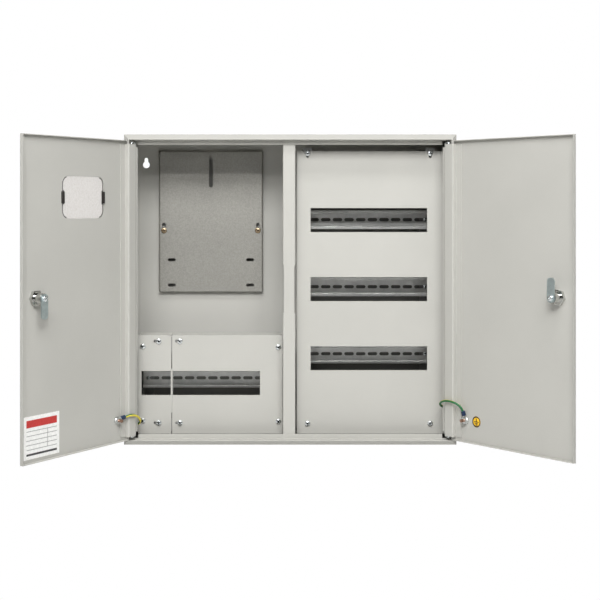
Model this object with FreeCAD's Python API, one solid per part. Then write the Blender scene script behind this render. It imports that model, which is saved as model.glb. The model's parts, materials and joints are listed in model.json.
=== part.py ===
# Electric meter box: a two-door wall cabinet in folded sheet steel, modelled with its doors standing open.
# Millimetres. +X is to the right, +Z is up and the front faces -Y. The origin is the middle of the back face.
# Depths are counted from the front of the rim towards the wall.
import FreeCAD, Part
import math
import os
from FreeCAD import Vector

# Cabinet shell
box_width = 600.0
box_height = 560.0
box_depth = 165.0
sheet = 1.2
rim_width = 10.0
rim_land = 1.6
bevel_depth = 9.0
recess_depth = 14.0
lip_side = 14.0
lip_end = 8.5

# Wall keyholes and cable knock-outs
keyhole_side_gap = 23.0
keyhole_end_gap = 40.0
keyhole_slot_radius = 3.5
keyhole_entry_radius = 6.5
keyhole_drop = 10.0
knockout_radius = 16.0
knockout_groove = 2.0
knockout_score = 0.5
knockout_depth = 105.0
knockout_places = (-190.0, 0.0, 190.0)

# Post between the two openings
post_x = -2.0
post_width = 22.5
post_depth = 14.0
post_overlap = 6.0
latch_notch_height = 87.0
latch_notch_depth = 1.8

# Doors: widths run from the hinge edge, backs are counted from the door's front face
door_side_gap = 1.5
door_middle_gap = 3.0
door_end_gap = 2.0
door_depth = 11.0
door_proud = 4.0
door_bend = 2.2
left_open_angle = 121.5
right_open_angle = 129.0
channel_width = 20.5
channel_end_gap = 6.5
channel_foot = 12.5
hinge_notch = 14.0
flange_depth = 7.5
flange_start = 16.0
pivot_plate = 3.0

# Hinge rods
hinge_rod_diameter = 3.5
pivot_inset = 3.5
pivot_back = 3.6
pivot_clearance = 0.05
pivot_leg = 22.0
weld_leg = 34.0
weld_leg_inset = 5.0
hinge_bend = 3.0
lip_notch_width = 11.0
lip_notch_height = 12.0

# Window in the left door
window_width = 108.0
window_height = 73.0
window_radius = 14.0
window_from_hinge = 133.0
window_from_top = 102.5
pane_overlap = 4.0
pane_thickness = 1.5
pane_clearance = 1.1
clip_height = 20.0
clip_width = 2.4
clip_reach = 1.2

# Cam locks
lock_from_edge = 34.5
lock_radius = 9.0
lock_head_radius = 12.5
lock_head_height = 2.5
lock_nut_flats = 24.0
lock_nut_height = 6.0
plug_radius = 6.0
plug_clearance = 0.05
key_slot = (1.8, 7.0, 8.0)
cam_width = 15.0
cam_reach = 33.5
cam_thickness = 2.0
cam_behind_post = 1.0
cam_square = 8.0
cam_screw_radius = 5.0
cam_screw_head = 3.0
cam_screw_shank = 2.0
cam_screw_length = 9.0

# Covers
cover_depth = 44.0
cover_sheet = 1.0
cover_flange = 10.0
right_cover_post_gap = 2.35
right_cover_side_gap = 16.0
right_cover_top_gap = 29.0
cover_bottom_gap = 14.0
left_cover_side_gap = 21.4
left_cover_post_gap = 0.95
left_cover_height = 180.0
left_top_flange = 50.0
seam_from_side = 61.5
seam_gap = 1.6
seam_fit = 0.3
seam_fold_above = 3.0
seam_fold_below = 32.0

# Breaker cut-outs and rails
right_slot_from_cover = 132.4
right_slot_width = 213.5
slot_height = 44.0
right_row_from_top = 126.0
row_pitch = 126.5
right_rows = 3
left_slot_from_post = 149.8
left_slot_width = 217.0
left_row_height = 92.5
rail_gap = 71.0
rail_height = 35.0
rail_hat = 27.0
rail_depth = 7.5
rail_sheet = 1.0
rail_hole_pitch = 22.0
rail_hole_length = 18.0
rail_hole_height = 6.2
rail_end_margin = 3.0

# Uprights and bridge brackets behind the covers
bracket_sheet = 1.5
tab_width = 17.0
tab_height = 20.0
tab_inner_reach = 5.0
seat_height = 32.0
web_from_slot = 14.0
inner_web_reach = 0.8
arm_height = 26.0
bridge_rise = 8.0
bridge_fall = 15.0
bridge_back_fall = 3.5
bridge_half_width = 28.0
bridge_foot = 10.0

# Meter plate on the back wall
plate_from_side = 148.0
plate_width = 198.5
plate_top_gap = 25.5
plate_height = 267.5
plate_sheet = 1.0
plate_standoff = 11.0
plate_bend = 1.5
plate_screw_inset = 9.25
plate_screw_from_top = 150.5
plate_screw_slot = (7.0, 18.0)
long_slot = (7.6, 60.0)
long_slot_from_top = 38.0
small_slot = (15.0, 6.0)
small_slot_inset = 24.25
small_slot_heights = (60.7, 12.2)
boss_radius = 5.0

# Screws: head radius, head height, shank radius, length under the head
cover_screw = (5.2, 3.0, 1.95, 12.0)
plate_screw = (5.6, 3.4, 2.5, 10.0)
rail_screw = (4.0, 2.2, 1.95, 6.0)
screw_hole_clearance = 0.35
right_screw_end_gap = 32.5
narrow_screw_from_seam = 23.9
wide_screw_from_seam = 15.1
bridge_screw_gaps = (10.8, 19.5)
bridge_slot_reach = 9.2
bridge_slot_height = 5.4
hang_slot_fall = 8.8
hang_slot_width = 5.0
narrow_edge_screw_gaps = (20.3, 23.7)
wide_edge_screw_gaps = (22.0, 22.5)

# Earth studs, lugs and leads
stud_radius = 3.0
stud_length = 13.5
stud_from_hinge = 44.0
stud_from_bottom = 39.0
washer_radius = 6.2
washer_height = 1.6
nut_flats = 10.0
nut_height = 5.0
lug_radius = 5.8
lug_thickness = 1.2
lead_diameter = 4.2
lead_clearance = 0.05
barrel_length = 8.5
barrel_radius = 2.9
sleeve_radius = 3.7
wall_stud_depth = 34.0
left_wall_stud_rise = -29.0
right_wall_stud_rise = 1.0

# Stickers
label_width = 85.0
label_height = 70.0
label_from_edge = 51.0
label_from_bottom = 41.5
sticker_thickness = 0.25
sign_radius = 9.8
sign_from_hinge = 68.5

# Derived sizes
half_x = box_width / 2
half_z = box_height / 2
opening_x = half_x - rim_width
opening_z = half_z - rim_width
lip_back = recess_depth + sheet
lip_x = opening_x - lip_side
lip_z = opening_z - lip_end
wall_inner = box_depth - sheet
door_edge = opening_x - door_side_gap
door_width = door_edge - door_middle_gap / 2
door_half_z = opening_z - door_end_gap
channel_half_z = door_half_z - channel_end_gap
pivot_x = door_edge - pivot_inset
pivot_depth = pivot_back - door_proud
lock_u = door_width - lock_from_edge
cam_front = lip_back + sheet + cam_behind_post + door_proud
cam_back = cam_front + cam_thickness
keyhole_spacing_x = box_width - 2 * keyhole_side_gap
keyhole_spacing_z = box_height - 2 * keyhole_end_gap
window_z = door_half_z - window_from_top
cover_back = cover_depth + cover_sheet
cover_bottom = cover_bottom_gap - half_z
right_cover_left = post_x + post_width / 2 + right_cover_post_gap
right_cover_right = half_x - right_cover_side_gap
right_cover_top = half_z - right_cover_top_gap
left_cover_left = left_cover_side_gap - half_x
left_cover_right = post_x - post_width / 2 - left_cover_post_gap
left_cover_top = cover_bottom + left_cover_height
seam_x = left_cover_left + seam_from_side
right_slot_x = right_cover_left + right_slot_from_cover
left_slot_x = left_cover_right - left_slot_from_post
left_row_z = cover_bottom + left_row_height
right_row_top = right_cover_top - right_row_from_top
right_row_zs = [right_row_top - row * row_pitch for row in range(right_rows)]
rail_front = cover_depth + rail_gap
rail_back = rail_front + rail_sheet
left_outer_web = left_cover_left
left_inner_web = left_cover_right + inner_web_reach
right_screw_z = half_z - right_screw_end_gap
narrow_screw_x = seam_x - narrow_screw_from_seam
wide_screw_x = seam_x + wide_screw_from_seam
bridge_screw_zs = (left_cover_top - bridge_screw_gaps[0], cover_bottom + bridge_screw_gaps[1])
narrow_edge_screw_zs = (left_cover_top - narrow_edge_screw_gaps[0], cover_bottom + narrow_edge_screw_gaps[1])
wide_edge_screw_zs = (left_cover_top - wide_edge_screw_gaps[0], cover_bottom + wide_edge_screw_gaps[1])
plate_x = plate_from_side - half_x
plate_top = half_z - plate_top_gap
plate_bottom = plate_top - plate_height
plate_front = wall_inner - plate_standoff
plate_back = plate_front + plate_sheet
plate_screw_spacing = plate_width - 2 * plate_screw_inset
plate_screw_z = plate_top - plate_screw_from_top
long_slot_z = plate_top - long_slot_from_top
small_slot_spacing = plate_width - 2 * small_slot_inset
small_slot_rows = [plate_bottom + rise for rise in small_slot_heights]
stud_z = stud_from_bottom - door_half_z
label_from_hinge = door_width - label_from_edge
label_z = label_from_bottom - door_half_z
rod_radius = hinge_rod_diameter / 2
lead_radius = lead_diameter / 2
sides = {"left": -1, "right": 1}
open_angle = {"left": -left_open_angle, "right": right_open_angle}


# Geometry helpers
def at(x, depth, z):
    return Vector(x, depth - box_depth, z)


def block(x0, x1, depth0, depth1, z0, z1):
    low = at(min(x0, x1), min(depth0, depth1), min(z0, z1))
    return Part.makeBox(abs(x1 - x0), abs(depth1 - depth0), abs(z1 - z0), low)


def rod(start, end, radius):
    run = end - start
    return Part.makeCylinder(radius, run.Length, start, run)


def tube(start, end, outer, inner):
    return rod(start, end, outer).cut(rod(start, end, inner))


def fused(shapes):
    whole = shapes[0]
    for shape in shapes[1:]:
        whole = whole.fuse(shape)
    return whole.removeSplitter()


def rounded_wire(corners, radii):
    """A closed outline through the corners, each rounded by its own radius."""
    stops = []
    for i, corner in enumerate(corners):
        before = corners[i - 1] - corner
        after = corners[(i + 1) % len(corners)] - corner
        before.normalize()
        after.normalize()
        half = before.getAngle(after) / 2
        middle = before + after
        if radii[i] == 0 or middle.Length < 1e-6:
            stops.append((corner, None, corner))
            continue
        middle.normalize()
        reach = radii[i] / math.tan(half)
        tip = corner + middle * (radii[i] / math.sin(half) - radii[i])
        stops.append((corner + before * reach, tip, corner + after * reach))
    edges = []
    for i, (entry, tip, leave) in enumerate(stops):
        last = stops[i - 1][2]
        if (entry - last).Length > 1e-6:
            edges.append(Part.makeLine(last, entry))
        if tip is not None:
            edges.append(Part.Arc(entry, tip, leave).toShape())
    return Part.Wire(edges)


def prism(corners, radii, along):
    return Part.Face(rounded_wire(corners, radii)).extrude(along)


def front_panel(x, z, width, height, radius, depth0, depth1):
    """A plate that faces the front, with rounded corners; also used as a cutter."""
    corners = [
        at(x + sx * width / 2, depth0, z + sz * height / 2)
        for sx, sz in ((-1, -1), (1, -1), (1, 1), (-1, 1))
    ]
    return prism(corners, [radius] * 4, Vector(0, depth1 - depth0, 0))


def slot_cutter(x, z, width, height, depth0, depth1):
    return front_panel(x, z, width, height, min(width, height) / 2 - 0.01, depth0, depth1)


def folded_sheet(path, thickness, bend, place, along):
    """One sheet folded along a path of its middle; place turns the path's two numbers into a point."""
    inner_side = []
    outer_side = []
    last = len(path) - 1
    for i, point in enumerate(path):
        here = Vector(point[0], point[1], 0)
        to_here = here - Vector(*path[i - 1], 0) if i > 0 else Vector(*path[1], 0) - here
        onward = Vector(*path[i + 1], 0) - here if i < last else to_here
        to_here.normalize()
        onward = Vector(onward).normalize()
        normal = Vector(-to_here.y - onward.y, to_here.x + onward.x, 0)
        offset = normal * (thickness / (2 * (1 + to_here.dot(onward))))
        turn = to_here.cross(onward).z
        radii = (0, 0) if abs(turn) < 1e-9 else (bend, bend + thickness)
        if turn < 0:
            radii = radii[::-1]
        left = here + offset
        right = here - offset
        inner_side.append((place(left.x, left.y), radii[0]))
        outer_side.append((place(right.x, right.y), radii[1]))
    outline = inner_side + outer_side[::-1]
    return prism([corner for corner, _ in outline], [radius for _, radius in outline], along)


def hexagon(centre, axis, flats, height, bore):
    """A hexagonal nut that starts at centre and grows along axis."""
    side_way = axis.cross(Vector(0, 0, 1)).normalize()
    up_way = axis.cross(side_way).normalize()
    radius = flats / math.sqrt(3)
    corners = []
    for step in range(6):
        angle = math.radians(60 * step)
        corners.append(centre + side_way * (radius * math.cos(angle)) + up_way * (radius * math.sin(angle)))
    body = prism(corners, [0] * 6, axis * height)
    return body.cut(rod(centre - axis, centre + axis * (height + 1), bore))


def pan_screw(x, z, face, size):
    """A cross-recessed pan-head screw driven into a face that looks to the front."""
    head_radius, head_height, shank_radius, length = size
    head = Part.makeCylinder(head_radius, head_height, at(x, face, z), Vector(0, -1, 0))
    crown = [edge for edge in head.Edges if abs(edge.CenterOfMass.y - at(x, face - head_height, z).y) < 1e-6]
    head = head.makeChamfer(head_height * 0.45, crown)
    shank = rod(at(x, face, z), at(x, face + length, z), shank_radius)
    arm = head_radius * 0.5
    thin = head_radius * 0.11
    deep = face - head_height * 0.45
    cross = block(x - arm, x + arm, face - head_height - 1, deep, z - thin, z + thin)
    cross = cross.fuse(block(x - thin, x + thin, face - head_height - 1, deep, z - arm, z + arm))
    return head.fuse(shank).cut(cross)


def screw_hole(x, z, size, depth0, depth1, clearance):
    return rod(at(x, depth0, z), at(x, depth1, z), size[2] + clearance)


# Cabinet shell
def frame_block(width, height, depth0, depth1):
    return block(-width, width, depth0, depth1, -height, height)


def bevel_block(width0, height0, depth0, width1, height1, depth1):
    rings = []
    for width, height, depth in ((width0, height0, depth0), (width1, height1, depth1)):
        corners = [at(sx * width, depth, sz * height) for sx, sz in ((-1, -1), (1, -1), (1, 1), (-1, 1))]
        rings.append(rounded_wire(corners, [0] * 4))
    return Part.makeLoft(rings, True, True)


def bevel_inside(outward):
    """Depth of the bevel's inner face at a distance outward from the opening."""
    run = rim_width - rim_land
    slope = bevel_depth / run
    return (outward - rim_land) * slope + sheet * math.hypot(run, bevel_depth) / run


def keyhole_cutter(x, z):
    entry = rod(at(x, wall_inner - 1, z - keyhole_drop), at(x, box_depth + 1, z - keyhole_drop), keyhole_entry_radius)
    hang = rod(at(x, wall_inner - 1, z), at(x, box_depth + 1, z), keyhole_slot_radius)
    throat = block(
        x - keyhole_slot_radius, x + keyhole_slot_radius, wall_inner - 1, box_depth + 1, z - keyhole_drop, z
    )
    return entry.fuse(hang).fuse(throat)


def knockout_groove_cutter(x, end):
    face = end * half_z
    ring = tube(
        at(x, knockout_depth, face - end * knockout_score), at(x, knockout_depth, face + end),
        knockout_radius + knockout_groove / 2, knockout_radius - knockout_groove / 2,
    )
    return ring


def hinge_lip_cutter(side, end):
    x = side * lip_x
    z = end * (opening_z - door_end_gap / 2)
    return block(
        x - side, x + side * lip_notch_width, recess_depth - 1, lip_back + 1, z, z - end * lip_notch_height
    )


def enclosure():
    outer = bevel_block(opening_x + rim_land, opening_z + rim_land, 0, half_x, half_z, bevel_depth)
    outer = outer.fuse(frame_block(half_x, half_z, bevel_depth, box_depth))
    front_cavity = bevel_inside(sheet)
    full_cavity = bevel_inside(rim_width - sheet)
    cavity = bevel_block(
        opening_x + sheet, opening_z + sheet, front_cavity, half_x - sheet, half_z - sheet, full_cavity
    )
    cavity = cavity.fuse(frame_block(half_x - sheet, half_z - sheet, full_cavity, wall_inner))
    shell = outer.cut(cavity)
    shell = shell.fuse(frame_block(opening_x + sheet, opening_z + sheet, 0, lip_back))
    shell = shell.cut(frame_block(opening_x, opening_z, -1, recess_depth))
    shell = shell.cut(frame_block(lip_x, lip_z, recess_depth - 1, lip_back + 1))
    cutters = []
    for side in (-1, 1):
        for end in (-1, 1):
            cutters.append(hinge_lip_cutter(side, end))
            cutters.append(keyhole_cutter(side * keyhole_spacing_x / 2, end * keyhole_spacing_z / 2))
    for x in knockout_places:
        cutters.append(knockout_groove_cutter(x, 1))
        cutters.append(knockout_groove_cutter(x, -1))
    return shell.cut(Part.makeCompound(cutters)).removeSplitter()


def post():
    left = post_x - post_width / 2
    right = post_x + post_width / 2
    front = lip_back + sheet / 2
    back = lip_back + post_depth
    low = -lip_z - post_overlap
    path = [
        (left + sheet / 2, back), (left + sheet / 2, front), (right - sheet / 2, front), (right - sheet / 2, back)
    ]
    channel = folded_sheet(path, sheet, 0.6, lambda x, depth: at(x, depth, low), Vector(0, 0, -2 * low))
    notch = latch_notch_height / 2
    for edge, inward in ((left, 1), (right, -1)):
        cutter = block(edge - inward, edge + inward * latch_notch_depth, lip_back - 1, back + 1, -notch, notch)
        channel = channel.cut(cutter)
    return channel


def hinge_rod(side, end):
    """A bent rod: one leg is welded behind the lip, the other is the pivot in the door's channel."""
    weld_x = side * (lip_x + weld_leg_inset)
    weld_depth = lip_back + rod_radius
    arm_z = end * (channel_half_z + channel_end_gap / 2 + door_end_gap / 4)
    points = [
        at(weld_x, weld_depth, arm_z - end * weld_leg),
        at(weld_x, weld_depth, arm_z),
        at(side * pivot_x, pivot_depth, arm_z),
        at(side * pivot_x, pivot_depth, arm_z - end * pivot_leg),
    ]
    return swept_rod(points, rod_radius, lambda shorter, half_turn: hinge_bend)


def swept_rod(points, radius, bend_radius):
    """A round bar along straight runs and tangent arcs."""
    edges = []
    last = points[0]
    for before, corner, after in zip(points, points[1:], points[2:]):
        back = before - corner
        onward = after - corner
        shorter = min(back.Length, onward.Length)
        back.normalize()
        onward.normalize()
        half = back.getAngle(onward) / 2
        bend = bend_radius(shorter, math.pi / 2 - half)
        reach = bend / math.tan(half)
        middle = (back + onward).normalize()
        tip = corner + middle * (bend / math.sin(half) - bend)
        entry = corner + back * reach
        leave = corner + onward * reach
        edges.append(Part.makeLine(last, entry))
        edges.append(Part.Arc(entry, tip, leave).toShape())
        last = leave
    edges.append(Part.makeLine(last, points[-1]))
    path = Part.Wire(edges)
    start_way = points[1] - points[0]
    ring = Part.Wire([Part.makeCircle(radius, points[0], start_way)])
    return path.makePipeShell([ring], True, False)


# Doors are built shut and then swung to the pose of the photograph
def door_at(side, u, back, z):
    return at(side * (door_edge - u), back - door_proud, z)


def door_block(side, u0, u1, back0, back1, z0, z1):
    return block(
        side * (door_edge - u0), side * (door_edge - u1), back0 - door_proud, back1 - door_proud, z0, z1
    )


def swung(shape, name):
    pivot = at(sides[name] * pivot_x, pivot_depth, 0)
    return shape.rotated(pivot, Vector(0, 0, 1), open_angle[name])


def swung_point(name, u, back, z):
    point = Part.Vertex(door_at(sides[name], u, back, z))
    return swung(point, name).Point


def door_pan(side):
    pan = door_block(side, hinge_notch, door_width, 0, flange_depth, -door_half_z, door_half_z)
    front = door_at(side, 0, 0, 0).y
    hinge_end = door_at(side, hinge_notch, 0, 0).x
    bends = []
    for edge in pan.Edges:
        centre = edge.CenterOfMass
        if abs(centre.y - front) < 1e-6 and abs(centre.x - hinge_end) > 1e-6:
            bends.append(edge)
    pan = pan.makeFillet(door_bend, bends)
    inner_z = door_half_z - sheet
    pan = pan.cut(door_block(side, 0, door_width - sheet, sheet, door_depth + 1, -inner_z, inner_z))
    relief = door_block(side, 0, flange_start, sheet, door_depth + 1, -door_half_z - 1, door_half_z + 1)
    return pan.cut(relief)


def hinge_channel(side):
    """The closed fold along the hinge edge, with its welded foot and the drilled pivot plates in its ends."""

    def ring(inset, radius):
        corners = [
            door_at(side, u, back, -channel_half_z)
            for u, back in (
                (inset, inset), (channel_width - inset, inset),
                (channel_width - inset, door_depth - inset), (inset, door_depth - inset),
            )
        ]
        return prism(corners, [radius] * 4, Vector(0, 0, 2 * channel_half_z))

    folds = ring(0, door_bend).cut(ring(sheet, door_bend - sheet))
    foot = door_block(
        side, channel_width - sheet, channel_width + channel_foot, sheet, 2 * sheet, -channel_half_z, channel_half_z
    )
    plates = []
    for end in (-1, 1):
        plate = door_block(
            side, sheet / 2, channel_width - sheet / 2, sheet / 2, door_depth - sheet / 2,
            end * channel_half_z, end * (channel_half_z - pivot_plate),
        )
        hole = rod(
            door_at(side, pivot_inset, pivot_back, -door_half_z), door_at(side, pivot_inset, pivot_back, door_half_z),
            rod_radius + pivot_clearance,
        )
        plates.append(plate.cut(hole))
    return [folds, foot] + plates


def door(name):
    side = sides[name]
    panel = fused([door_pan(side)] + hinge_channel(side))
    lock_hole = rod(door_at(side, lock_u, -5, 0), door_at(side, lock_u, 5, 0), lock_radius)
    panel = panel.cut(lock_hole)
    if name == "left":
        centre = door_at(side, window_from_hinge, 0, window_z)
        hole = front_panel(
            centre.x, window_z, window_width, window_height, window_radius, -door_proud - 5, -door_proud + 5
        )
        panel = panel.cut(hole)
    return swung(panel, name)


def window_pane():
    side = sides["left"]
    x = door_at(side, window_from_hinge, 0, 0).x
    front = -door_proud
    plug_width = window_width - 2 * pane_clearance
    plug_height = window_height - 2 * pane_clearance
    flange = front_panel(
        x, window_z, window_width + 2 * pane_overlap, window_height + 2 * pane_overlap,
        window_radius + pane_overlap, front - pane_thickness, front,
    )
    plug = front_panel(x, window_z, plug_width, plug_height, window_radius - pane_clearance, front, front + sheet)
    pieces = [flange, plug]
    hook = front + sheet
    for way in (-1, 1):
        edge = x + way * plug_width / 2
        tongue_z = (window_z - clip_height / 2, window_z + clip_height / 2)
        pieces.append(block(edge, edge - way * clip_width, front, hook + 3 * clip_reach, *tongue_z))
        barb_edge = edge + way * (pane_clearance + clip_reach)
        pieces.append(block(edge - way, barb_edge, hook + 0.05, hook + 2 * clip_reach, *tongue_z))
    return swung(fused(pieces), "left")


# Cam locks
def lock_axis_point(side, back):
    return door_at(side, lock_u, back, 0)


def lock_body(name):
    side = sides[name]
    rear = cam_front - 0.4
    barrel = rod(lock_axis_point(side, 0), lock_axis_point(side, rear), lock_radius)
    head = rod(lock_axis_point(side, -lock_head_height), lock_axis_point(side, 0), lock_head_radius)
    rim = [edge for edge in head.Edges if abs(edge.CenterOfMass.y - lock_axis_point(side, -lock_head_height).y) < 1e-6]
    head = head.makeChamfer(lock_head_height * 0.4, rim)
    bore = rod(
        lock_axis_point(side, -lock_head_height - 1), lock_axis_point(side, rear + 1), plug_radius + plug_clearance
    )
    return swung(barrel.fuse(head).cut(bore), name)


def lock_nut(name):
    side = sides[name]
    nut = hexagon(lock_axis_point(side, sheet), Vector(0, 1, 0), lock_nut_flats, lock_nut_height, lock_radius)
    return swung(nut, name)


def lock_plug(name):
    side = sides[name]
    core = rod(lock_axis_point(side, -lock_head_height), lock_axis_point(side, cam_front), plug_radius)
    square = cam_square / 2
    tang = door_block(side, lock_u - square, lock_u + square, cam_front, cam_back, -square, square)
    width, height, deep = key_slot
    slot = door_block(
        side, lock_u - width / 2, lock_u + width / 2, -lock_head_height - 1, deep, -height / 2, height / 2
    )
    bore = rod(lock_axis_point(side, cam_back - cam_screw_length), lock_axis_point(side, cam_back + 1), cam_screw_shank)
    return swung(core.fuse(tang).cut(slot).cut(bore), name)


def lock_cam(name):
    """The left cam hangs down and the right cam stands up, as they do when unlocked."""
    side = sides[name]
    x = lock_axis_point(side, 0).x
    middle_z = side * (cam_reach - cam_width / 2) / 2
    blade = front_panel(
        x, middle_z, cam_width, cam_reach + cam_width / 2, cam_width * 0.42, cam_front - door_proud, cam_back - door_proud
    )
    square = cam_square / 2
    hole = door_block(side, lock_u - square, lock_u + square, cam_front - 1, cam_back + 1, -square, square)
    return swung(blade.cut(hole), name)


def cam_screw(name):
    side = sides[name]
    head = rod(lock_axis_point(side, cam_back), lock_axis_point(side, cam_back + cam_screw_head), cam_screw_radius)
    rear = lock_axis_point(side, cam_back + cam_screw_head).y
    head = head.makeChamfer(cam_screw_head * 0.4, [e for e in head.Edges if abs(e.CenterOfMass.y - rear) < 1e-6])
    shank = rod(
        lock_axis_point(side, cam_back - cam_screw_length), lock_axis_point(side, cam_back), cam_screw_shank
    )
    arm = cam_screw_radius * 0.55
    thin = cam_screw_radius * 0.12
    deep = cam_back + cam_screw_head * 0.5
    cross = door_block(side, lock_u - arm, lock_u + arm, deep, cam_back + 9, -thin, thin)
    cross = cross.fuse(door_block(side, lock_u - thin, lock_u + thin, deep, cam_back + 9, -arm, arm))
    return swung(head.fuse(shank).cut(cross), name)


# Covers
def cut_all(shape, cutters):
    return shape.cut(Part.makeCompound(cutters))


def cover_screw_places():
    """Screw places of each cover, as x and z."""
    right_xs = [
        right_slot_x + way * (right_slot_width / 2 + web_from_slot - tab_width / 2) for way in (-1, 1)
    ]
    return {
        "right_cover": [(x, z) for x in right_xs for z in (right_screw_z, -right_screw_z)],
        "left_narrow_cover": [(left_outer_web + tab_width / 2, z) for z in narrow_edge_screw_zs]
        + [(narrow_screw_x, z) for z in bridge_screw_zs],
        "left_wide_cover": [(left_inner_web - tab_width / 2, z) for z in wide_edge_screw_zs]
        + [(wide_screw_x, z) for z in bridge_screw_zs],
    }


def cover_holes(name):
    return [
        screw_hole(x, z, cover_screw, cover_depth - 1, cover_back + 1, screw_hole_clearance)
        for x, z in cover_screw_places()[name]
    ]


def right_cover():
    low = cover_bottom
    front = cover_depth + cover_sheet / 2
    left = right_cover_left + cover_sheet / 2
    right = right_cover_right - cover_sheet / 2
    back = cover_depth + cover_flange
    path = [(left, back), (left, front), (right, front), (right, back)]
    height = Vector(0, 0, right_cover_top - low)
    cover = folded_sheet(path, cover_sheet, 0.6, lambda x, depth: at(x, depth, low), height)
    cutters = cover_holes("right_cover")
    for z in right_row_zs:
        cutters.append(
            front_panel(right_slot_x, z, right_slot_width, slot_height, 1.0, cover_depth - 1, cover_back + 1)
        )
    for x, z in cover_screw_places()["right_cover"]:
        if z > 0:
            height = hang_slot_width / 2 + hang_slot_fall
            middle = z + hang_slot_width / 2 - height / 2
            cutters.append(slot_cutter(x, middle, hang_slot_width, height, cover_depth - 1, cover_back + 1))
    return cut_all(cover, cutters)


def left_cover(name):
    """One of the two covers that meet at the seam; each folds back along the top and along the seam."""
    if name == "left_narrow_cover":
        outer, seam, inward = left_cover_left, seam_x - seam_gap / 2, -1
    else:
        outer, seam, inward = left_cover_right, seam_x + seam_gap / 2, 1
    plate = block(outer, seam, cover_depth, cover_back, cover_bottom, left_cover_top)
    slot = front_panel(
        left_slot_x, left_row_z, left_slot_width, slot_height, 1.0, cover_depth - 1, cover_back + 1
    )
    plate = cut_all(plate, cover_holes(name) + bridge_slots(name) + [slot])
    top = block(
        outer, seam, cover_depth, cover_depth + left_top_flange, left_cover_top - cover_sheet, left_cover_top
    )
    edge = seam + seam_gap - seam_fit if name == "left_narrow_cover" else seam
    fold = block(
        edge, seam + inward * cover_sheet, cover_depth, cover_depth + cover_flange,
        left_row_z + slot_height / 2 + seam_fold_above, left_row_z - slot_height / 2 - seam_fold_below,
    )
    return fused([plate, top, fold])


def bridge_slots(name):
    """Slots beside the screws on the brackets, so that a cover can slide until it meets the other one."""
    length = bridge_slot_reach + bridge_slot_height / 2
    slots = []
    for x, z in cover_screw_places()[name]:
        if z in bridge_screw_zs:
            middle = x + bridge_slot_height / 2 - length / 2
            slots.append(slot_cutter(middle, z, length, bridge_slot_height, cover_depth - 1, cover_back + 1))
    return slots


def cover_screws(name):
    screws = [pan_screw(x, z, cover_depth, cover_screw) for x, z in cover_screw_places()[name]]
    return Part.makeCompound(screws)


# Rails and what carries them
def rail(x0, x1, z):
    front = rail_front + rail_sheet / 2 - rail_depth + rail_sheet
    back = rail_front + rail_sheet / 2
    outer = rail_height / 2
    inner = rail_hat / 2 - rail_sheet / 2
    path = [(-outer, front), (-inner, front), (-inner, back), (inner, back), (inner, front), (outer, front)]
    hat = folded_sheet(path, rail_sheet, 0.5, lambda up, depth: at(x0, depth, z + up), Vector(x1 - x0, 0, 0))
    count = int((x1 - x0 - 2 * rail_end_margin) / rail_hole_pitch)
    first = (x0 + x1) / 2 - (count - 1) * rail_hole_pitch / 2
    cutters = [
        slot_cutter(first + i * rail_hole_pitch, z, rail_hole_length, rail_hole_height, rail_front - 1, rail_back + 1)
        for i in range(count)
    ]
    for x in rail_screw_xs(x0, x1):
        cutters.append(screw_hole(x, z, rail_screw, rail_front - 1, rail_back + 1, screw_hole_clearance))
    return cut_all(hat, cutters)


def rail_screw_xs(x0, x1):
    return (x0 + tab_width / 2, x1 - tab_width / 2)


def right_webs():
    return [right_slot_x + way * (right_slot_width / 2 + web_from_slot) for way in (-1, 1)]


def rail_spans():
    """Ends and height of every rail."""
    inner, outer = right_webs()
    spans = {"left_rail": (left_outer_web + bracket_sheet, left_inner_web - bracket_sheet, left_row_z)}
    for place, z in zip(("upper", "middle", "lower"), right_row_zs):
        spans["right_%s_rail" % place] = (inner + bracket_sheet, outer - bracket_sheet, z)
    return spans


def rail_screws():
    screws = []
    for x0, x1, z in rail_spans().values():
        for x in rail_screw_xs(x0, x1):
            screws.append(pan_screw(x, z, rail_front, rail_screw))
    return Part.makeCompound(screws)


def upright(web, toward, screw_zs, rail_zs):
    """A folded bracket from the back wall: a web with a foot, tabs for the cover screws and seats for rails."""
    low = min(screw_zs) - tab_height / 2
    high = max(screw_zs) + tab_height / 2
    far = web + toward * tab_width
    face = web + toward * bracket_sheet
    pieces = [block(web, face, rail_back, wall_inner, low, high)]
    pieces.append(block(web, far, wall_inner - bracket_sheet, wall_inner, low, high))
    for z in screw_zs:
        lower = z < (low + high) / 2
        inner_z = low + arm_height if lower else high - arm_height
        outer_z = low if lower else high
        tab_end = z + tab_inner_reach if lower else z - tab_inner_reach
        pieces.append(block(web, face, cover_back, rail_back + 1, outer_z, inner_z))
        tab = block(web, far, cover_back, cover_back + bracket_sheet, outer_z, tab_end)
        middle = web + toward * tab_width / 2
        pieces.append(tab.cut(screw_hole(middle, z, cover_screw, cover_back - 1, cover_back + 5, 0)))
    for z in rail_zs:
        seat = block(web, far, rail_back, rail_back + bracket_sheet, z - seat_height / 2, z + seat_height / 2)
        middle = web + toward * (bracket_sheet + tab_width / 2)
        pieces.append(seat.cut(screw_hole(middle, z, rail_screw, rail_back - 1, rail_back + 5, 0)))
    return fused(pieces)


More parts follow.
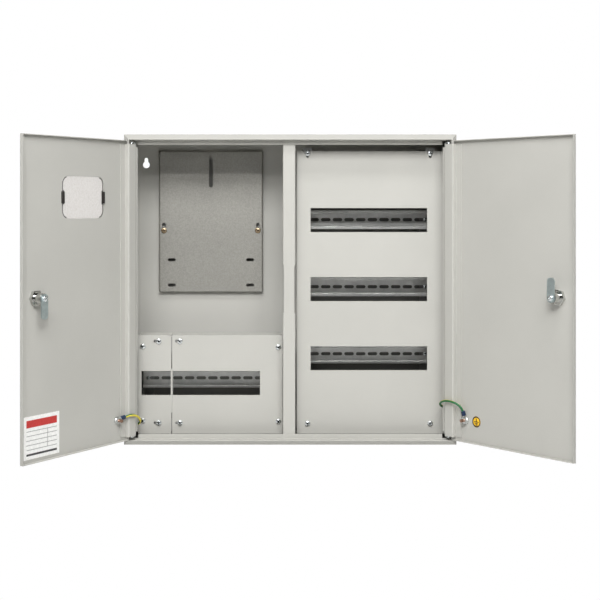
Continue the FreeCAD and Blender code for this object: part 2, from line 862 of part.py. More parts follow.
def bridge_bracket(z):
    """A hat-shaped bracket behind the seam that takes one screw of each left cover."""
    middle = (narrow_screw_x + wide_screw_x) / 2
    front = cover_back + bracket_sheet / 2
    back = wall_inner - bracket_sheet / 2
    leg = bridge_half_width - bracket_sheet / 2
    path = [
        (middle - leg - bridge_foot, back), (middle - leg, back), (middle - leg, front),
        (middle + leg, front), (middle + leg, back), (middle + leg + bridge_foot, back),
    ]
    low = z - bridge_fall
    height = Vector(0, 0, bridge_rise + bridge_fall)
    hat = folded_sheet(path, bracket_sheet, 1.0, lambda x, depth: at(x, depth, low), height)
    holes = [
        screw_hole(x, z, cover_screw, cover_back - 1, cover_back + 5, 0) for x in (narrow_screw_x, wide_screw_x)
    ]
    wide = bridge_half_width + bridge_foot + 1
    step = cover_back + bridge_foot
    holes.append(
        block(middle - wide, middle + wide, step, wall_inner + 1, z - bridge_back_fall, z + bridge_rise + 1)
    )
    return cut_all(hat, holes)


# Meter plate
def plate_screw_xs():
    return (plate_x - plate_screw_spacing / 2, plate_x + plate_screw_spacing / 2)


def meter_plate():
    left = plate_x - plate_width / 2
    right = plate_x + plate_width / 2
    front = plate_front + plate_sheet / 2
    path = [
        (left + plate_sheet / 2, wall_inner), (left + plate_sheet / 2, front),
        (right - plate_sheet / 2, front), (right - plate_sheet / 2, wall_inner),
    ]
    height = Vector(0, 0, plate_top - plate_bottom)
    pan = folded_sheet(path, plate_sheet, plate_bend, lambda x, depth: at(x, depth, plate_bottom), height)
    edge = plate_bend + 2 * plate_sheet
    fold = block(left + edge, right - edge, plate_front, wall_inner, plate_bottom, plate_bottom + plate_sheet)
    pan = fused([pan, fold])
    cutters = []
    for x in plate_screw_xs():
        slot_z = plate_screw_z + plate_screw_slot[1] / 2 - plate_screw_slot[0] / 2
        cutters.append(slot_cutter(x, slot_z, *plate_screw_slot, plate_front - 1, plate_back + 1))
    cutters.append(slot_cutter(plate_x, long_slot_z, *long_slot, plate_front - 1, plate_back + 1))
    for way in (-1, 1):
        for z in small_slot_rows:
            x = plate_x + way * small_slot_spacing / 2
            cutters.append(slot_cutter(x, z, *small_slot, plate_front - 1, plate_back + 1))
    return cut_all(pan, cutters)


def plate_bosses():
    bosses = [
        tube(at(x, plate_back, plate_screw_z), at(x, wall_inner, plate_screw_z), boss_radius, plate_screw[2])
        for x in plate_screw_xs()
    ]
    return Part.makeCompound(bosses)


def plate_screws():
    return Part.makeCompound([pan_screw(x, plate_screw_z, plate_front, plate_screw) for x in plate_screw_xs()])


# Earth studs, lugs and leads
# The routes run from the lug on the door, past the inner lip, to the lug on the side wall.
def near_door_stud(name, along, back, rise):
    return swung_point(name, stud_from_hinge + along, back, stud_z + rise)


def near_side_wall(name, inset, depth, rise):
    return at(sides[name] * (half_x - inset), depth, stud_z + rise)


lead_routes = {
    "left": [
        near_door_stud("left", -8.0, 5.2, 2.5),
        near_door_stud("left", -16.5, 9.0, 5.0),
        near_side_wall("left", 17.3, -18.5, 7.5),
        near_side_wall("left", 26.0, -4.0, 3.0),
        near_side_wall("left", 29.5, 9.0, -5.5),
        near_side_wall("left", 27.5, 21.0, -14.0),
        near_side_wall("left", 15.0, 27.0, -19.0),
        near_side_wall("left", 9.0, 29.5, -21.8),
    ],
    "right": [
        near_door_stud("right", -1.0, 5.6, 8.0),
        near_door_stud("right", -3.5, 7.6, 19.0),
        near_side_wall("right", 0.5, -29.0, 26.5),
        near_side_wall("right", 11.5, -24.0, 31.5),
        near_side_wall("right", 22.0, -12.0, 32.0),
        near_side_wall("right", 28.5, 2.0, 27.5),
        near_side_wall("right", 29.5, 13.0, 22.0),
        near_side_wall("right", 26.0, 23.0, 17.0),
        near_side_wall("right", 14.0, 28.0, 11.5),
        near_side_wall("right", 8.5, 30.0, 8.7),
    ],
}
wall_stud_z = {"left": stud_z + left_wall_stud_rise, "right": stud_z + right_wall_stud_rise}


def barrel_points(name, end):
    """Both ends of a lug's barrel: the first or last straight run of the lead."""
    route = lead_routes[name]
    near, far = (route[0], route[1]) if end == "door" else (route[-1], route[-2])
    run = (far - near).normalize()
    return near, near + run * barrel_length


def lug(name, end, ring_centre, face_way):
    """A ring lug: a flat ring on the stud, a flat tongue, and the barrel crimped on the lead."""
    start, stop = barrel_points(name, end)
    offset = start - ring_centre
    outward = (offset - face_way * offset.dot(face_way)).normalize()
    across = outward.cross(face_way) * (barrel_radius * 0.8)
    nut_reach = nut_flats / math.sqrt(3)
    tip = outward * (nut_reach + barrel_radius * 0.6)
    corners = [ring_centre + across, ring_centre - across, ring_centre + tip - across, ring_centre + tip + across]
    tongue = prism(corners, [0] * 4, face_way * lug_thickness)
    ring = rod(ring_centre, ring_centre + face_way * lug_thickness, lug_radius)
    knee = ring_centre + outward * nut_reach + face_way * (lug_thickness / 2)
    neck = rod(knee, start, lug_thickness / 2)
    cap = (stop - start).normalize()
    barrel = rod(start - cap * 1.5, stop, barrel_radius)
    nut_room = rod(ring_centre + face_way * lug_thickness, ring_centre + face_way * stud_length, nut_reach + 0.1)
    stud_room = rod(ring_centre - face_way, ring_centre + face_way * stud_length, stud_radius)
    lead_room = swept_rod(lead_routes[name], lead_radius + lead_clearance, lead_bend)
    whole = fused([ring, tongue, neck, barrel])
    return whole.cut(nut_room).cut(stud_room).cut(lead_room)


def door_stud_base(name):
    return door_at(sides[name], stud_from_hinge, sheet, stud_z)


def door_stud(name):
    base = door_stud_base(name)
    return swung(rod(base, base + Vector(0, stud_length, 0), stud_radius), name)


def stud_stack(base, way):
    """A washer under the lug and a nut on top of it."""
    washer = tube(base, base + way * washer_height, washer_radius, stud_radius)
    nut = hexagon(base + way * (washer_height + lug_thickness), way, nut_flats, nut_height, stud_radius)
    return Part.makeCompound([washer, nut])


def door_nut(name):
    return swung(stud_stack(door_stud_base(name), Vector(0, 1, 0)), name)


def door_lug(name):
    ring = swung_point(name, stud_from_hinge, sheet + washer_height, stud_z)
    way = swung_point(name, stud_from_hinge, sheet + washer_height + 1, stud_z) - ring
    return lug(name, "door", ring, way)


def lug_sleeve(name):
    start, stop = barrel_points(name, "door")
    return tube(start, stop, sleeve_radius, barrel_radius)


def wall_stud_base(name):
    return at(sides[name] * (half_x - sheet), wall_stud_depth, wall_stud_z[name])


def wall_way(name):
    return Vector(-sides[name], 0, 0)


def wall_studs():
    studs = [
        rod(wall_stud_base(name), wall_stud_base(name) + wall_way(name) * stud_length, stud_radius) for name in sides
    ]
    return Part.makeCompound(studs)


def wall_nuts():
    stacks = [stud_stack(wall_stud_base(name), wall_way(name)) for name in sides]
    return Part.makeCompound([solid for stack in stacks for solid in stack.Solids])


def wall_lug(name):
    ring = wall_stud_base(name) + wall_way(name) * washer_height
    return lug(name, "wall", ring, wall_way(name))


def lead_bend(shorter, half_turn):
    return 0.45 * shorter / math.tan(half_turn)


def earth_lead(name):
    route = lead_routes[name]

    def printed_bend(shorter, half_turn):
        radius = lead_bend(shorter, half_turn)
        print(name, "lead bend radius", round(radius, 1))
        return radius

    lead = swept_rod(route, lead_radius, printed_bend)
    length = sum((b - a).Length for a, b in zip(route, route[1:]))
    print(name, "lead volume over section times length", round(lead.Volume / (math.pi * lead_radius ** 2 * length), 3))
    return lead


# Stickers
def label_sticker():
    side = sides["left"]
    label = door_block(
        side, label_from_hinge - label_width / 2, label_from_hinge + label_width / 2, sheet,
        sheet + sticker_thickness, label_z - label_height / 2, label_z + label_height / 2,
    )
    return swung(label, "left")


def earth_sign():
    side = sides["right"]
    start = door_at(side, sign_from_hinge, sheet, stud_z)
    return swung(rod(start, start + Vector(0, sticker_thickness, 0), sign_radius), "right")


# Assembly
def all_pieces():
    pieces = {
        "enclosure": enclosure(),
        "post": post(),
        "meter_plate": meter_plate(),
        "meter_plate_bosses": plate_bosses(),
        "meter_plate_screws": plate_screws(),
        "right_cover": right_cover(),
        "rail_screws": rail_screws(),
        "wall_earth_studs": wall_studs(),
        "wall_earth_nuts": wall_nuts(),
        "window_pane": window_pane(),
        "label_sticker": label_sticker(),
        "earth_sign": earth_sign(),
    }
    for name in ("left_narrow_cover", "left_wide_cover"):
        pieces[name] = left_cover(name)
    for name in cover_screw_places():
        pieces[name + "_screws"] = cover_screws(name)
    for name, span in rail_spans().items():
        pieces[name] = rail(*span)
    inner_web, outer_web = right_webs()
    right_screws = (right_screw_z, -right_screw_z)
    pieces["right_inner_upright"] = upright(inner_web, 1, right_screws, right_row_zs)
    pieces["right_outer_upright"] = upright(outer_web, -1, right_screws, right_row_zs)
    pieces["left_outer_upright"] = upright(left_outer_web, 1, narrow_edge_screw_zs, [left_row_z])
    pieces["left_inner_upright"] = upright(left_inner_web, -1, wide_edge_screw_zs, [left_row_z])
    for place, z in zip(("upper", "lower"), bridge_screw_zs):
        pieces[place + "_bridge_bracket"] = bridge_bracket(z)
    for name, side in sides.items():
        pieces[name + "_door"] = door(name)
        pieces[name + "_upper_hinge_rod"] = hinge_rod(side, 1)
        pieces[name + "_lower_hinge_rod"] = hinge_rod(side, -1)
        pieces[name + "_lock_body"] = lock_body(name)
        pieces[name + "_lock_nut"] = lock_nut(name)
        pieces[name + "_lock_plug"] = lock_plug(name)
        pieces[name + "_lock_cam"] = lock_cam(name)
        pieces[name + "_cam_screw"] = cam_screw(name)
        pieces[name + "_door_earth_stud"] = door_stud(name)
        pieces[name + "_door_earth_nut"] = door_nut(name)
        pieces[name + "_door_lug"] = door_lug(name)
        pieces[name + "_lug_sleeve"] = lug_sleeve(name)
        pieces[name + "_wall_lug"] = wall_lug(name)
        pieces[name + "_earth_lead"] = earth_lead(name)
    return pieces


os.makedirs("parts", exist_ok=True)
for piece_name, piece in all_pieces().items():
    piece.exportStep(os.path.join("parts", piece_name + ".step"))
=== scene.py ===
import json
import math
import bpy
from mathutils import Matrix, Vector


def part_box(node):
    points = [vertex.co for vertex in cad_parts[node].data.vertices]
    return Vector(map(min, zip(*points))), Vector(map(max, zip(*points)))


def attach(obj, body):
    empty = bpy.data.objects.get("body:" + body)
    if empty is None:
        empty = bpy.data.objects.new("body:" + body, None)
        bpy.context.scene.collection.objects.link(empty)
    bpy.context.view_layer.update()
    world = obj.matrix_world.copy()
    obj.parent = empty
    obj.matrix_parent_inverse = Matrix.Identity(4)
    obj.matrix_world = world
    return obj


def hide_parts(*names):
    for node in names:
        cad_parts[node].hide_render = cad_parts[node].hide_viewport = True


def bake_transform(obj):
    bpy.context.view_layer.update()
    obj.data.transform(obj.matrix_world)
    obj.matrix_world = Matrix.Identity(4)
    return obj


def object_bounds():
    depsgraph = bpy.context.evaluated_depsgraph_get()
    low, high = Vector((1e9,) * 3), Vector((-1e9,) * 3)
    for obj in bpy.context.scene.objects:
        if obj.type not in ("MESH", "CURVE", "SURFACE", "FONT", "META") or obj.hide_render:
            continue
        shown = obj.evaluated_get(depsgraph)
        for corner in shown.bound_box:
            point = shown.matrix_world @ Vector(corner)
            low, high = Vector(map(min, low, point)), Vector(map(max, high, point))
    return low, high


bl_info = {
    "name": "Electric meter box",
    "version": (1, 0, 0),
    "blender": (4, 5, 0),
    "location": "3D View > Sidebar > Meter box",
    "description": "Dresses the meter box: coat, zinc, screws, locks, earth leads, stickers and stage",
    "category": "Object",
}

import bmesh
import bpy
from bpy.props import FloatProperty, FloatVectorProperty, IntProperty, PointerProperty
from mathutils import Matrix, Vector

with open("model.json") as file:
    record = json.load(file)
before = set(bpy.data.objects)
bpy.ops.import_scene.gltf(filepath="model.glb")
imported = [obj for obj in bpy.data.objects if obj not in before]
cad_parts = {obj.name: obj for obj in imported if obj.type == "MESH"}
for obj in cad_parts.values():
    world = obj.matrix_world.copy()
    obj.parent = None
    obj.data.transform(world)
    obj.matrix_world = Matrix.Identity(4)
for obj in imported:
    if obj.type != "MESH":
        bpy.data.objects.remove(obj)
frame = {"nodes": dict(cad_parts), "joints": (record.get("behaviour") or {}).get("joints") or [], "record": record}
nodes = frame["nodes"]
cad_box = [list(corner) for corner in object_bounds()]
joints = {joint["name"]: joint for joint in frame["joints"]}
body_of_node = {
    node: body for body, members in frame["record"]["behaviour"]["bodies"].items() for node in members
}
sides = {"left": -1, "right": 1}
mm = 0.001

# Sizes in millimetres
sheet_thickness = 1.2
pivot_inset = 3.5
pivot_back = 3.6
rail_screw_radius = 4.0
plate_screw_radius = 5.6
lock_nut_flats = 24.0
lock_nut_height = 6.0
# Width of the painted shade ring round the pane, and how far in from its side edges the ring is dark
pane_rim = 1.8
pane_rim_reach = 11.0
print_sunk = -0.02
print_raised = 0.04

coat_roughness = 0.56
coat_specular = 0.28
lead_turns_per_metre = 4.0
lead_stripe_starts = {"left": 0.1, "right": 0.6}
lit_point = Vector((0, -0.2, 0))

painted_nodes = (
    "enclosure", "post", "right_cover", "left_narrow_cover", "left_wide_cover", "left_door", "right_door",
)
rail_nodes = ("left_rail", "right_upper_rail", "right_middle_rail", "right_lower_rail")
bracket_nodes = (
    "right_inner_upright", "right_outer_upright", "left_outer_upright", "left_inner_upright",
    "upper_bridge_bracket", "lower_bridge_bracket",
)

# Plated metals: colour, roughness, metallic share and size of the handling marks
metal_looks = {
    "bright_zinc": ((0.74, 0.77, 0.78), 0.24, 1.0, 0.004),
    "bracket_zinc": ((0.30, 0.30, 0.29), 0.45, 0.8, 0.02),
    "cam_zinc": ((0.52, 0.60, 0.61), 0.34, 0.85, 0.008),
    "yellow_zinc": ((0.38, 0.29, 0.19), 0.38, 1.0, 0.004),
    "lock_chrome": ((0.60, 0.60, 0.58), 0.08, 1.0, 0.004),
    "tinned_lug": ((0.70, 0.69, 0.66), 0.30, 1.0, 0.004),
    "stud_copper": ((0.42, 0.26, 0.19), 0.34, 1.0, 0.004),
}


# Settings
class PaintSettings(bpy.types.PropertyGroup):
    colour: FloatVectorProperty(
        name="Paint", description="Colour of the powder coat", subtype="COLOR", size=3,
        default=(0.47, 0.464, 0.432), min=0.0, max=1.0,
    )
    peel_size: FloatProperty(
        name="Orange peel", description="Width of the coat's small waves", default=0.0016, unit="LENGTH",
    )
    peel_height: FloatProperty(
        name="Peel height", description="Height of the coat's small waves", default=0.00006, unit="LENGTH",
    )
    fold_radius: FloatProperty(
        name="Edge radius", description="Rounding of the coated sheet edges", default=0.0004, unit="LENGTH",
    )
    # Darkness of the painted shade inside the shell behind the covers and the plate
    painted_shade_tone: FloatProperty(
        name="Painted shade", description="Tone of the painted shade behind the covers and the plate",
        default=0.4, min=0.0, max=1.0,
    )


class SheetSettings(bpy.types.PropertyGroup):
    zinc_colour: FloatVectorProperty(
        name="Zinc", description="Colour of the galvanised plate", subtype="COLOR", size=3,
        default=(0.32, 0.313, 0.287), min=0.0, max=1.0,
    )
    rail_colour: FloatVectorProperty(
        name="Rail zinc", description="Colour of the rails", subtype="COLOR", size=3,
        default=(0.80, 0.80, 0.78), min=0.0, max=1.0,
    )
    spangle_size: FloatProperty(
        name="Spangle", description="Width of one zinc crystal", default=0.002, unit="LENGTH",
    )


class ScrewSettings(bpy.types.PropertyGroup):
    head_height: FloatProperty(
        name="Cover screw height", description="Height of a cover screw's head",
        default=0.0030, unit="LENGTH",
    )
    head_radius: FloatProperty(
        name="Cover screw radius", description="Radius of a cover screw's head",
        default=0.0052, unit="LENGTH",
    )
    plate_head_height: FloatProperty(
        name="Plate screw height", description="Height of a plate screw's head",
        default=0.0034, unit="LENGTH",
    )
    rail_head_height: FloatProperty(
        name="Rail screw height", description="Height of a rail screw's head", default=0.0022, unit="LENGTH",
    )
    seed: IntProperty(name="Seed", description="Changes how far each screw is turned", default=4, min=0)


class LeadSettings(bpy.types.PropertyGroup):
    diameter: FloatProperty(
        name="Lead", description="Diameter of an earth lead", default=0.0042, unit="LENGTH",
    )
    yellow: FloatVectorProperty(
        name="Yellow", description="Yellow of the earth leads", subtype="COLOR", size=3,
        default=(0.72, 0.60, 0.07), min=0.0, max=1.0,
    )
    green: FloatVectorProperty(
        name="Green", description="Green of the earth leads", subtype="COLOR", size=3,
        default=(0.006, 0.12, 0.035), min=0.0, max=1.0,
    )
    sleeve: FloatVectorProperty(
        name="Sleeve", description="Blue of the lug sleeves", subtype="COLOR", size=3,
        default=(0.006, 0.022, 0.065), min=0.0, max=1.0,
    )


class StageSettings(bpy.types.PropertyGroup):
    eye: FloatVectorProperty(
        name="Camera", description="Place of the camera", subtype="TRANSLATION", size=3,
        default=(0.0016, -2.4835, 0.1517),
    )
    lens: FloatProperty(name="Lens", description="Focal length in millimetres", default=77.38, min=10.0)
    shift: FloatVectorProperty(
        name="Shift", description="Lens shift, as shares of the picture", size=2, default=(0.01483, -0.1575),
    )
    key_place: FloatVectorProperty(
        name="Key place", description="Place of the key light above the camera",
        subtype="TRANSLATION", size=3, default=(0.0, -2.6, 1.136),
    )
    key_power: FloatProperty(
        name="Key", description="Power of the key light", default=10.0, min=0.0, unit="POWER",
    )
    softbox_power: FloatProperty(
        name="Softbox", description="Power of the wide softbox above the camera",
        default=69.0, min=0.0, unit="POWER",
    )
    fill_power: FloatProperty(
        name="Fill", description="Power of the small fill light beside the camera",
        default=1.6, min=0.0, unit="POWER",
    )
    top_power: FloatProperty(
        name="Top light", description="Power of the overhead light", default=32.0, min=0.0, unit="POWER",
    )
    back_power: FloatProperty(
        name="Back lights", description="Power of each light behind the box",
        default=34.0, min=0.0, unit="POWER",
    )
    back_room: FloatProperty(
        name="Room behind", description="Brightness of the pale room behind the box", default=0.5, min=0.0,
    )
    floor_gap: FloatProperty(
        name="Floor gap", description="Height of the hung box above the floor",
        default=0.25, min=0.0, unit="LENGTH",
    )
    room: FloatProperty(
        name="Room", description="Brightness of the pale room in front of the box", default=0.025, min=0.0,
    )


class MeterBoxSettings(bpy.types.PropertyGroup):
    paint: PointerProperty(type=PaintSettings)
    sheet: PointerProperty(type=SheetSettings)
    screws: PointerProperty(type=ScrewSettings)
    leads: PointerProperty(type=LeadSettings)
    stage: PointerProperty(type=StageSettings)


def settings():
    return bpy.context.scene.meter_box


# Node helpers
def put(tree, kind, inputs=None, **values):
    """Adds a node; values are its own settings, and inputs are numbers or sockets for its sockets."""
    node = tree.nodes.new(kind)
    for key, value in values.items():
        setattr(node, key, value)
    for key, value in (inputs or {}).items():
        if isinstance(value, bpy.types.NodeSocket):
            tree.links.new(value, node.inputs[key])
        else:
            node.inputs[key].default_value = value
    return node


def new_group(kind, name, inputs, outputs):
    """A node group with named sockets; returns the tree, its input node and its output node."""
    tree = bpy.data.node_groups.new(name, kind)
    for label, socket, default in inputs:
        made = tree.interface.new_socket(label, in_out="INPUT", socket_type=socket)
        if default is not None:
            made.default_value = default
    for label, socket in outputs:
        tree.interface.new_socket(label, in_out="OUTPUT", socket_type=socket)
    return tree, tree.nodes.new("NodeGroupInput"), tree.nodes.new("NodeGroupOutput")


def math_node(tree, operation, first, second=None):
    inputs = {0: first}
    if second is not None:
        inputs[1] = second
    return put(tree, "ShaderNodeMath", inputs, operation=operation).outputs[0]


def ranged(tree, value, low, high, to_low, to_high):
    inputs = {"Value": value, "From Min": low, "From Max": high, "To Min": to_low, "To Max": to_high}
    return put(tree, "ShaderNodeMapRange", inputs).outputs["Result"]


def noise(tree, vector, scale, detail=3.0, roughness=0.55):
    inputs = {"Vector": vector, "Scale": scale, "Detail": detail, "Roughness": roughness}
    return put(tree, "ShaderNodeTexNoise", inputs).outputs["Fac"]


# Shader groups that several finishes share
def coat_group():
    """Uneven powder coat: broad tone changes, gloss changes and the small waves of its skin."""
    tree, given, out = new_group(
        "ShaderNodeTree", "uneven_coat",
        (("Vector", "NodeSocketVector", None), ("Peel Size", "NodeSocketFloat", 0.0016),
         ("Cloud Size", "NodeSocketFloat", 0.11)),
        (("Tone", "NodeSocketFloat"), ("Gloss", "NodeSocketFloat"), ("Height", "NodeSocketFloat")),
    )
    place = given.outputs["Vector"]
    clouds = noise(tree, place, math_node(tree, "DIVIDE", 1.0, given.outputs["Cloud Size"]), 4.0)
    peel = noise(tree, place, math_node(tree, "DIVIDE", 1.0, given.outputs["Peel Size"]), 2.0)
    specks = noise(tree, place, scale=2600.0, detail=1.0)
    tone = ranged(tree, clouds, 0.3, 0.7, 0.975, 1.02)
    speck_tone = ranged(tree, specks, 0.25, 0.75, 0.985, 1.012)
    tree.links.new(math_node(tree, "MULTIPLY", tone, speck_tone), out.inputs["Tone"])
    tree.links.new(ranged(tree, clouds, 0.3, 0.7, -0.05, 0.05), out.inputs["Gloss"])
    tree.links.new(peel, out.inputs["Height"])
    return tree


def painted_shade_group():
    """Painted shade inside the shell behind the covers and the plate: the paint is darkened there to stand in for
    the shade in those recesses.
    """
    tree, given, out = new_group(
        "ShaderNodeTree", "painted_shade_behind_covers",
        (("Vector", "NodeSocketVector", None), ("Painted Shade Tone", "NodeSocketFloat", 0.4)),
        (("Tone", "NodeSocketFloat"),),
    )
    split = put(tree, "ShaderNodeSeparateXYZ", {"Vector": given.outputs["Vector"]})
    across, depth, height = split.outputs

    # Places in metres where the painted shade starts and where it is darkest
    right_bay_side = (0.030, 0.045)
    right_bay_top = (0.235, 0.200)
    left_bay_top = (-0.118, -0.135)
    plate_inset = (0.004, 0.016)
    cover_depth = (-0.110, -0.095)

    def both(first, second):
        return math_node(tree, "MULTIPLY", first, second)

    def rising(value, begin, full):
        return ranged(tree, value, begin, full, 0.0, 1.0)

    right_bay = both(rising(across, *right_bay_side), rising(height, *right_bay_top))
    covered = math_node(tree, "MAXIMUM", right_bay, rising(height, *left_bay_top))
    low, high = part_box("meter_plate")
    behind_plate = 1.0
    for place, axis in ((across, 0), (height, 2)):
        for edge, inwards in ((low[axis], 1), (high[axis], -1)):
            begin, full = [edge + inwards * inset for inset in plate_inset]
            behind_plate = both(rising(place, begin, full), behind_plate)
    covered = math_node(tree, "MAXIMUM", covered, behind_plate)
    covered = both(covered, rising(depth, *cover_depth))
    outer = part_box("enclosure")[1]
    from_middle = math_node(tree, "ABSOLUTE", across)
    from_level = math_node(tree, "ABSOLUTE", height)
    for place, axis in ((depth, 1), (from_middle, 0), (from_level, 2)):
        inside = math_node(tree, "LESS_THAN", place, outer[axis] - sheet_thickness * mm / 2)
        covered = both(covered, inside)
    # The paint is darkened inside the mask by the shade tone. This is painted shade in the recesses behind the
    # covers and the plate.
    painted_darkness = both(covered, math_node(tree, "SUBTRACT", 1.0, given.outputs["Painted Shade Tone"]))
    tree.links.new(math_node(tree, "SUBTRACT", 1.0, painted_darkness), out.inputs["Tone"])
    return tree


def spangle_group():
    """Zinc crystals of a galvanised sheet, with a rolled grain and a few dull clouds."""
    tree, given, out = new_group(
        "ShaderNodeTree", "zinc_spangle",
        (("Vector", "NodeSocketVector", None), ("Crystal Size", "NodeSocketFloat", 0.002)),
        (("Tone", "NodeSocketFloat"), ("Dull", "NodeSocketFloat"), ("Height", "NodeSocketFloat")),
    )
    place = given.outputs["Vector"]
    scale = math_node(tree, "DIVIDE", 1.0, given.outputs["Crystal Size"])
    bend = put(tree, "ShaderNodeTexNoise", {"Vector": place, "Scale": 140.0, "Detail": 2.0})
    warp = {0: bend.outputs["Color"], 1: (0.004, 0.004, 0.004)}
    warped = put(tree, "ShaderNodeVectorMath", warp, operation="MULTIPLY")
    moved = put(tree, "ShaderNodeVectorMath", {0: place, 1: warped.outputs[0]})
    crystals = put(tree, "ShaderNodeTexVoronoi", {"Vector": moved.outputs[0], "Scale": scale})
    parts = put(tree, "ShaderNodeSeparateColor", {"Color": crystals.outputs["Color"]})
    clouds = noise(tree, place, scale=16.0, detail=5.0, roughness=0.6)
    grain = put(tree, "ShaderNodeMapping", {"Vector": place, "Scale": (900.0, 900.0, 60.0)})
    streaks = noise(tree, grain.outputs[0], scale=1.0, detail=2.0)
    tone = ranged(tree, parts.outputs[0], 0.0, 1.0, 0.92, 1.08)
    cloud_tone = ranged(tree, clouds, 0.3, 0.7, 0.95, 1.05)
    streak_tone = ranged(tree, streaks, 0.3, 0.7, 0.95, 1.04)
    both = math_node(tree, "MULTIPLY", tone, cloud_tone)
    tree.links.new(math_node(tree, "MULTIPLY", both, streak_tone), out.inputs["Tone"])
    tree.links.new(ranged(tree, clouds, 0.3, 0.7, 0.05, -0.04), out.inputs["Dull"])
    tree.links.new(math_node(tree, "ADD", parts.outputs[1], streaks), out.inputs["Height"])
    return tree


def scuff_group():
    """Fine handling marks on plated metal and plastics."""
    if "handling_marks" in bpy.data.node_groups:
        return bpy.data.node_groups["handling_marks"]
    tree, given, out = new_group(
        "ShaderNodeTree", "handling_marks",
        (("Vector", "NodeSocketVector", None), ("Size", "NodeSocketFloat", 0.004)),
        (("Tone", "NodeSocketFloat"), ("Rough", "NodeSocketFloat"), ("Height", "NodeSocketFloat")),
    )
    place = given.outputs["Vector"]
    scale = math_node(tree, "DIVIDE", 1.0, given.outputs["Size"])
    clouds = noise(tree, place, scale, detail=4.0, roughness=0.65)
    grain = put(tree, "ShaderNodeMapping", {"Vector": place, "Scale": (700.0, 700.0, 3500.0)})
    lines = noise(tree, grain.outputs[0], scale=1.0, detail=2.0)
    tree.links.new(ranged(tree, clouds, 0.3, 0.7, 0.86, 1.08), out.inputs["Tone"])
    tree.links.new(ranged(tree, clouds, 0.3, 0.7, 0.09, -0.04), out.inputs["Rough"])
    tree.links.new(math_node(tree, "ADD", lines, clouds), out.inputs["Height"])
    return tree


# Finishes
def colour_mix(tree, bsdf, blend_type="MIX"):
    """A mix that feeds the base colour; returns its factor and its two colours."""
    mix = put(tree, "ShaderNodeMix", data_type="RGBA", blend_type=blend_type)
    result = [socket for socket in mix.outputs if socket.type == "RGBA"][0]
    tree.links.new(result, bsdf.inputs["Base Color"])
    return mix.inputs["Factor"], *[socket for socket in mix.inputs if socket.type == "RGBA"]


def tinted(tree, bsdf, colour, tone):
    """Base colour times a tone that changes over the surface."""
    factor, first, second = colour_mix(tree, bsdf, "MULTIPLY")
    factor.default_value = 1.0
    first.default_value = (*colour, 1.0)
    tree.links.new(tone, second)


def known_finish(name):
    """The finish of that name if this script has already made it; the CAD slots keep the plain names."""
    return bpy.data.materials.get("box_" + name)


def new_finish(name):
    made = bpy.data.materials.new("box_" + name)
    made.use_nodes = True
    tree = made.node_tree
    place = put(tree, "ShaderNodeTexCoord").outputs["Object"]
    return made, tree, tree.nodes["Principled BSDF"], place


def bumped(tree, bsdf, height, distance, strength=0.6):
    bump = put(tree, "ShaderNodeBump", {"Height": height, "Distance": distance, "Strength": strength})
    tree.links.new(bump.outputs[0], bsdf.inputs["Normal"])


def powder_coat():
    name = "powder_coat"
    if known_finish(name):
        return known_finish(name)
    look = settings().paint
    made, tree, bsdf, place = new_finish(name)
    coat_inputs = {"Vector": place, "Peel Size": look.peel_size}
    coat = put(tree, "ShaderNodeGroup", coat_inputs, node_tree=coat_group())
    # Painted shade: the coat's tone is darkened inside the shell behind the covers and the plate
    painted_shade_inputs = {"Vector": place, "Painted Shade Tone": look.painted_shade_tone}
    thin = put(tree, "ShaderNodeGroup", painted_shade_inputs, node_tree=painted_shade_group())
    tone = math_node(tree, "MULTIPLY", coat.outputs["Tone"], thin.outputs["Tone"])
    tinted(tree, bsdf, look.colour, tone)
    rough = math_node(tree, "ADD", coat.outputs["Gloss"], coat_roughness)
    tree.links.new(rough, bsdf.inputs["Roughness"])
    bsdf.inputs["Specular IOR Level"].default_value = coat_specular
    bumped(tree, bsdf, coat.outputs["Height"], look.peel_height)
    return made


def galvanised(name, colour, metallic, rough):
    if known_finish(name):
        return known_finish(name)
    made, tree, bsdf, place = new_finish(name)
    inputs = {"Vector": place, "Crystal Size": settings().sheet.spangle_size}
    zinc = put(tree, "ShaderNodeGroup", inputs, node_tree=spangle_group())
    tinted(tree, bsdf, colour, zinc.outputs["Tone"])
    tree.links.new(math_node(tree, "ADD", zinc.outputs["Dull"], rough), bsdf.inputs["Roughness"])
    bsdf.inputs["Metallic"].default_value = metallic
    bumped(tree, bsdf, zinc.outputs["Height"], distance=0.00005, strength=0.5)
    return made


def plated(name, colour, rough, metallic, size):
    """Metal or plastic with handling marks."""
    if known_finish(name):
        return known_finish(name)
    made, tree, bsdf, place = new_finish(name)
    marks = put(tree, "ShaderNodeGroup", {"Vector": place, "Size": size}, node_tree=scuff_group())
    tinted(tree, bsdf, colour, marks.outputs["Tone"])
    tree.links.new(math_node(tree, "ADD", marks.outputs["Rough"], rough), bsdf.inputs["Roughness"])
    bsdf.inputs["Metallic"].default_value = metallic
    bumped(tree, bsdf, marks.outputs["Height"], distance=0.00003, strength=0.4)
    return made


def plastic(name, colour, rough):
    return plated(name, colour, rough, 0.0, 0.003)


def metal(name):
    return plated(name, *metal_looks[name])


def hazy_pane():
    made = plastic("hazy_pane", (0.66, 0.625, 0.59), 0.30)
    made.node_tree.nodes["Principled BSDF"].inputs["Alpha"].default_value = 0.46
    return made


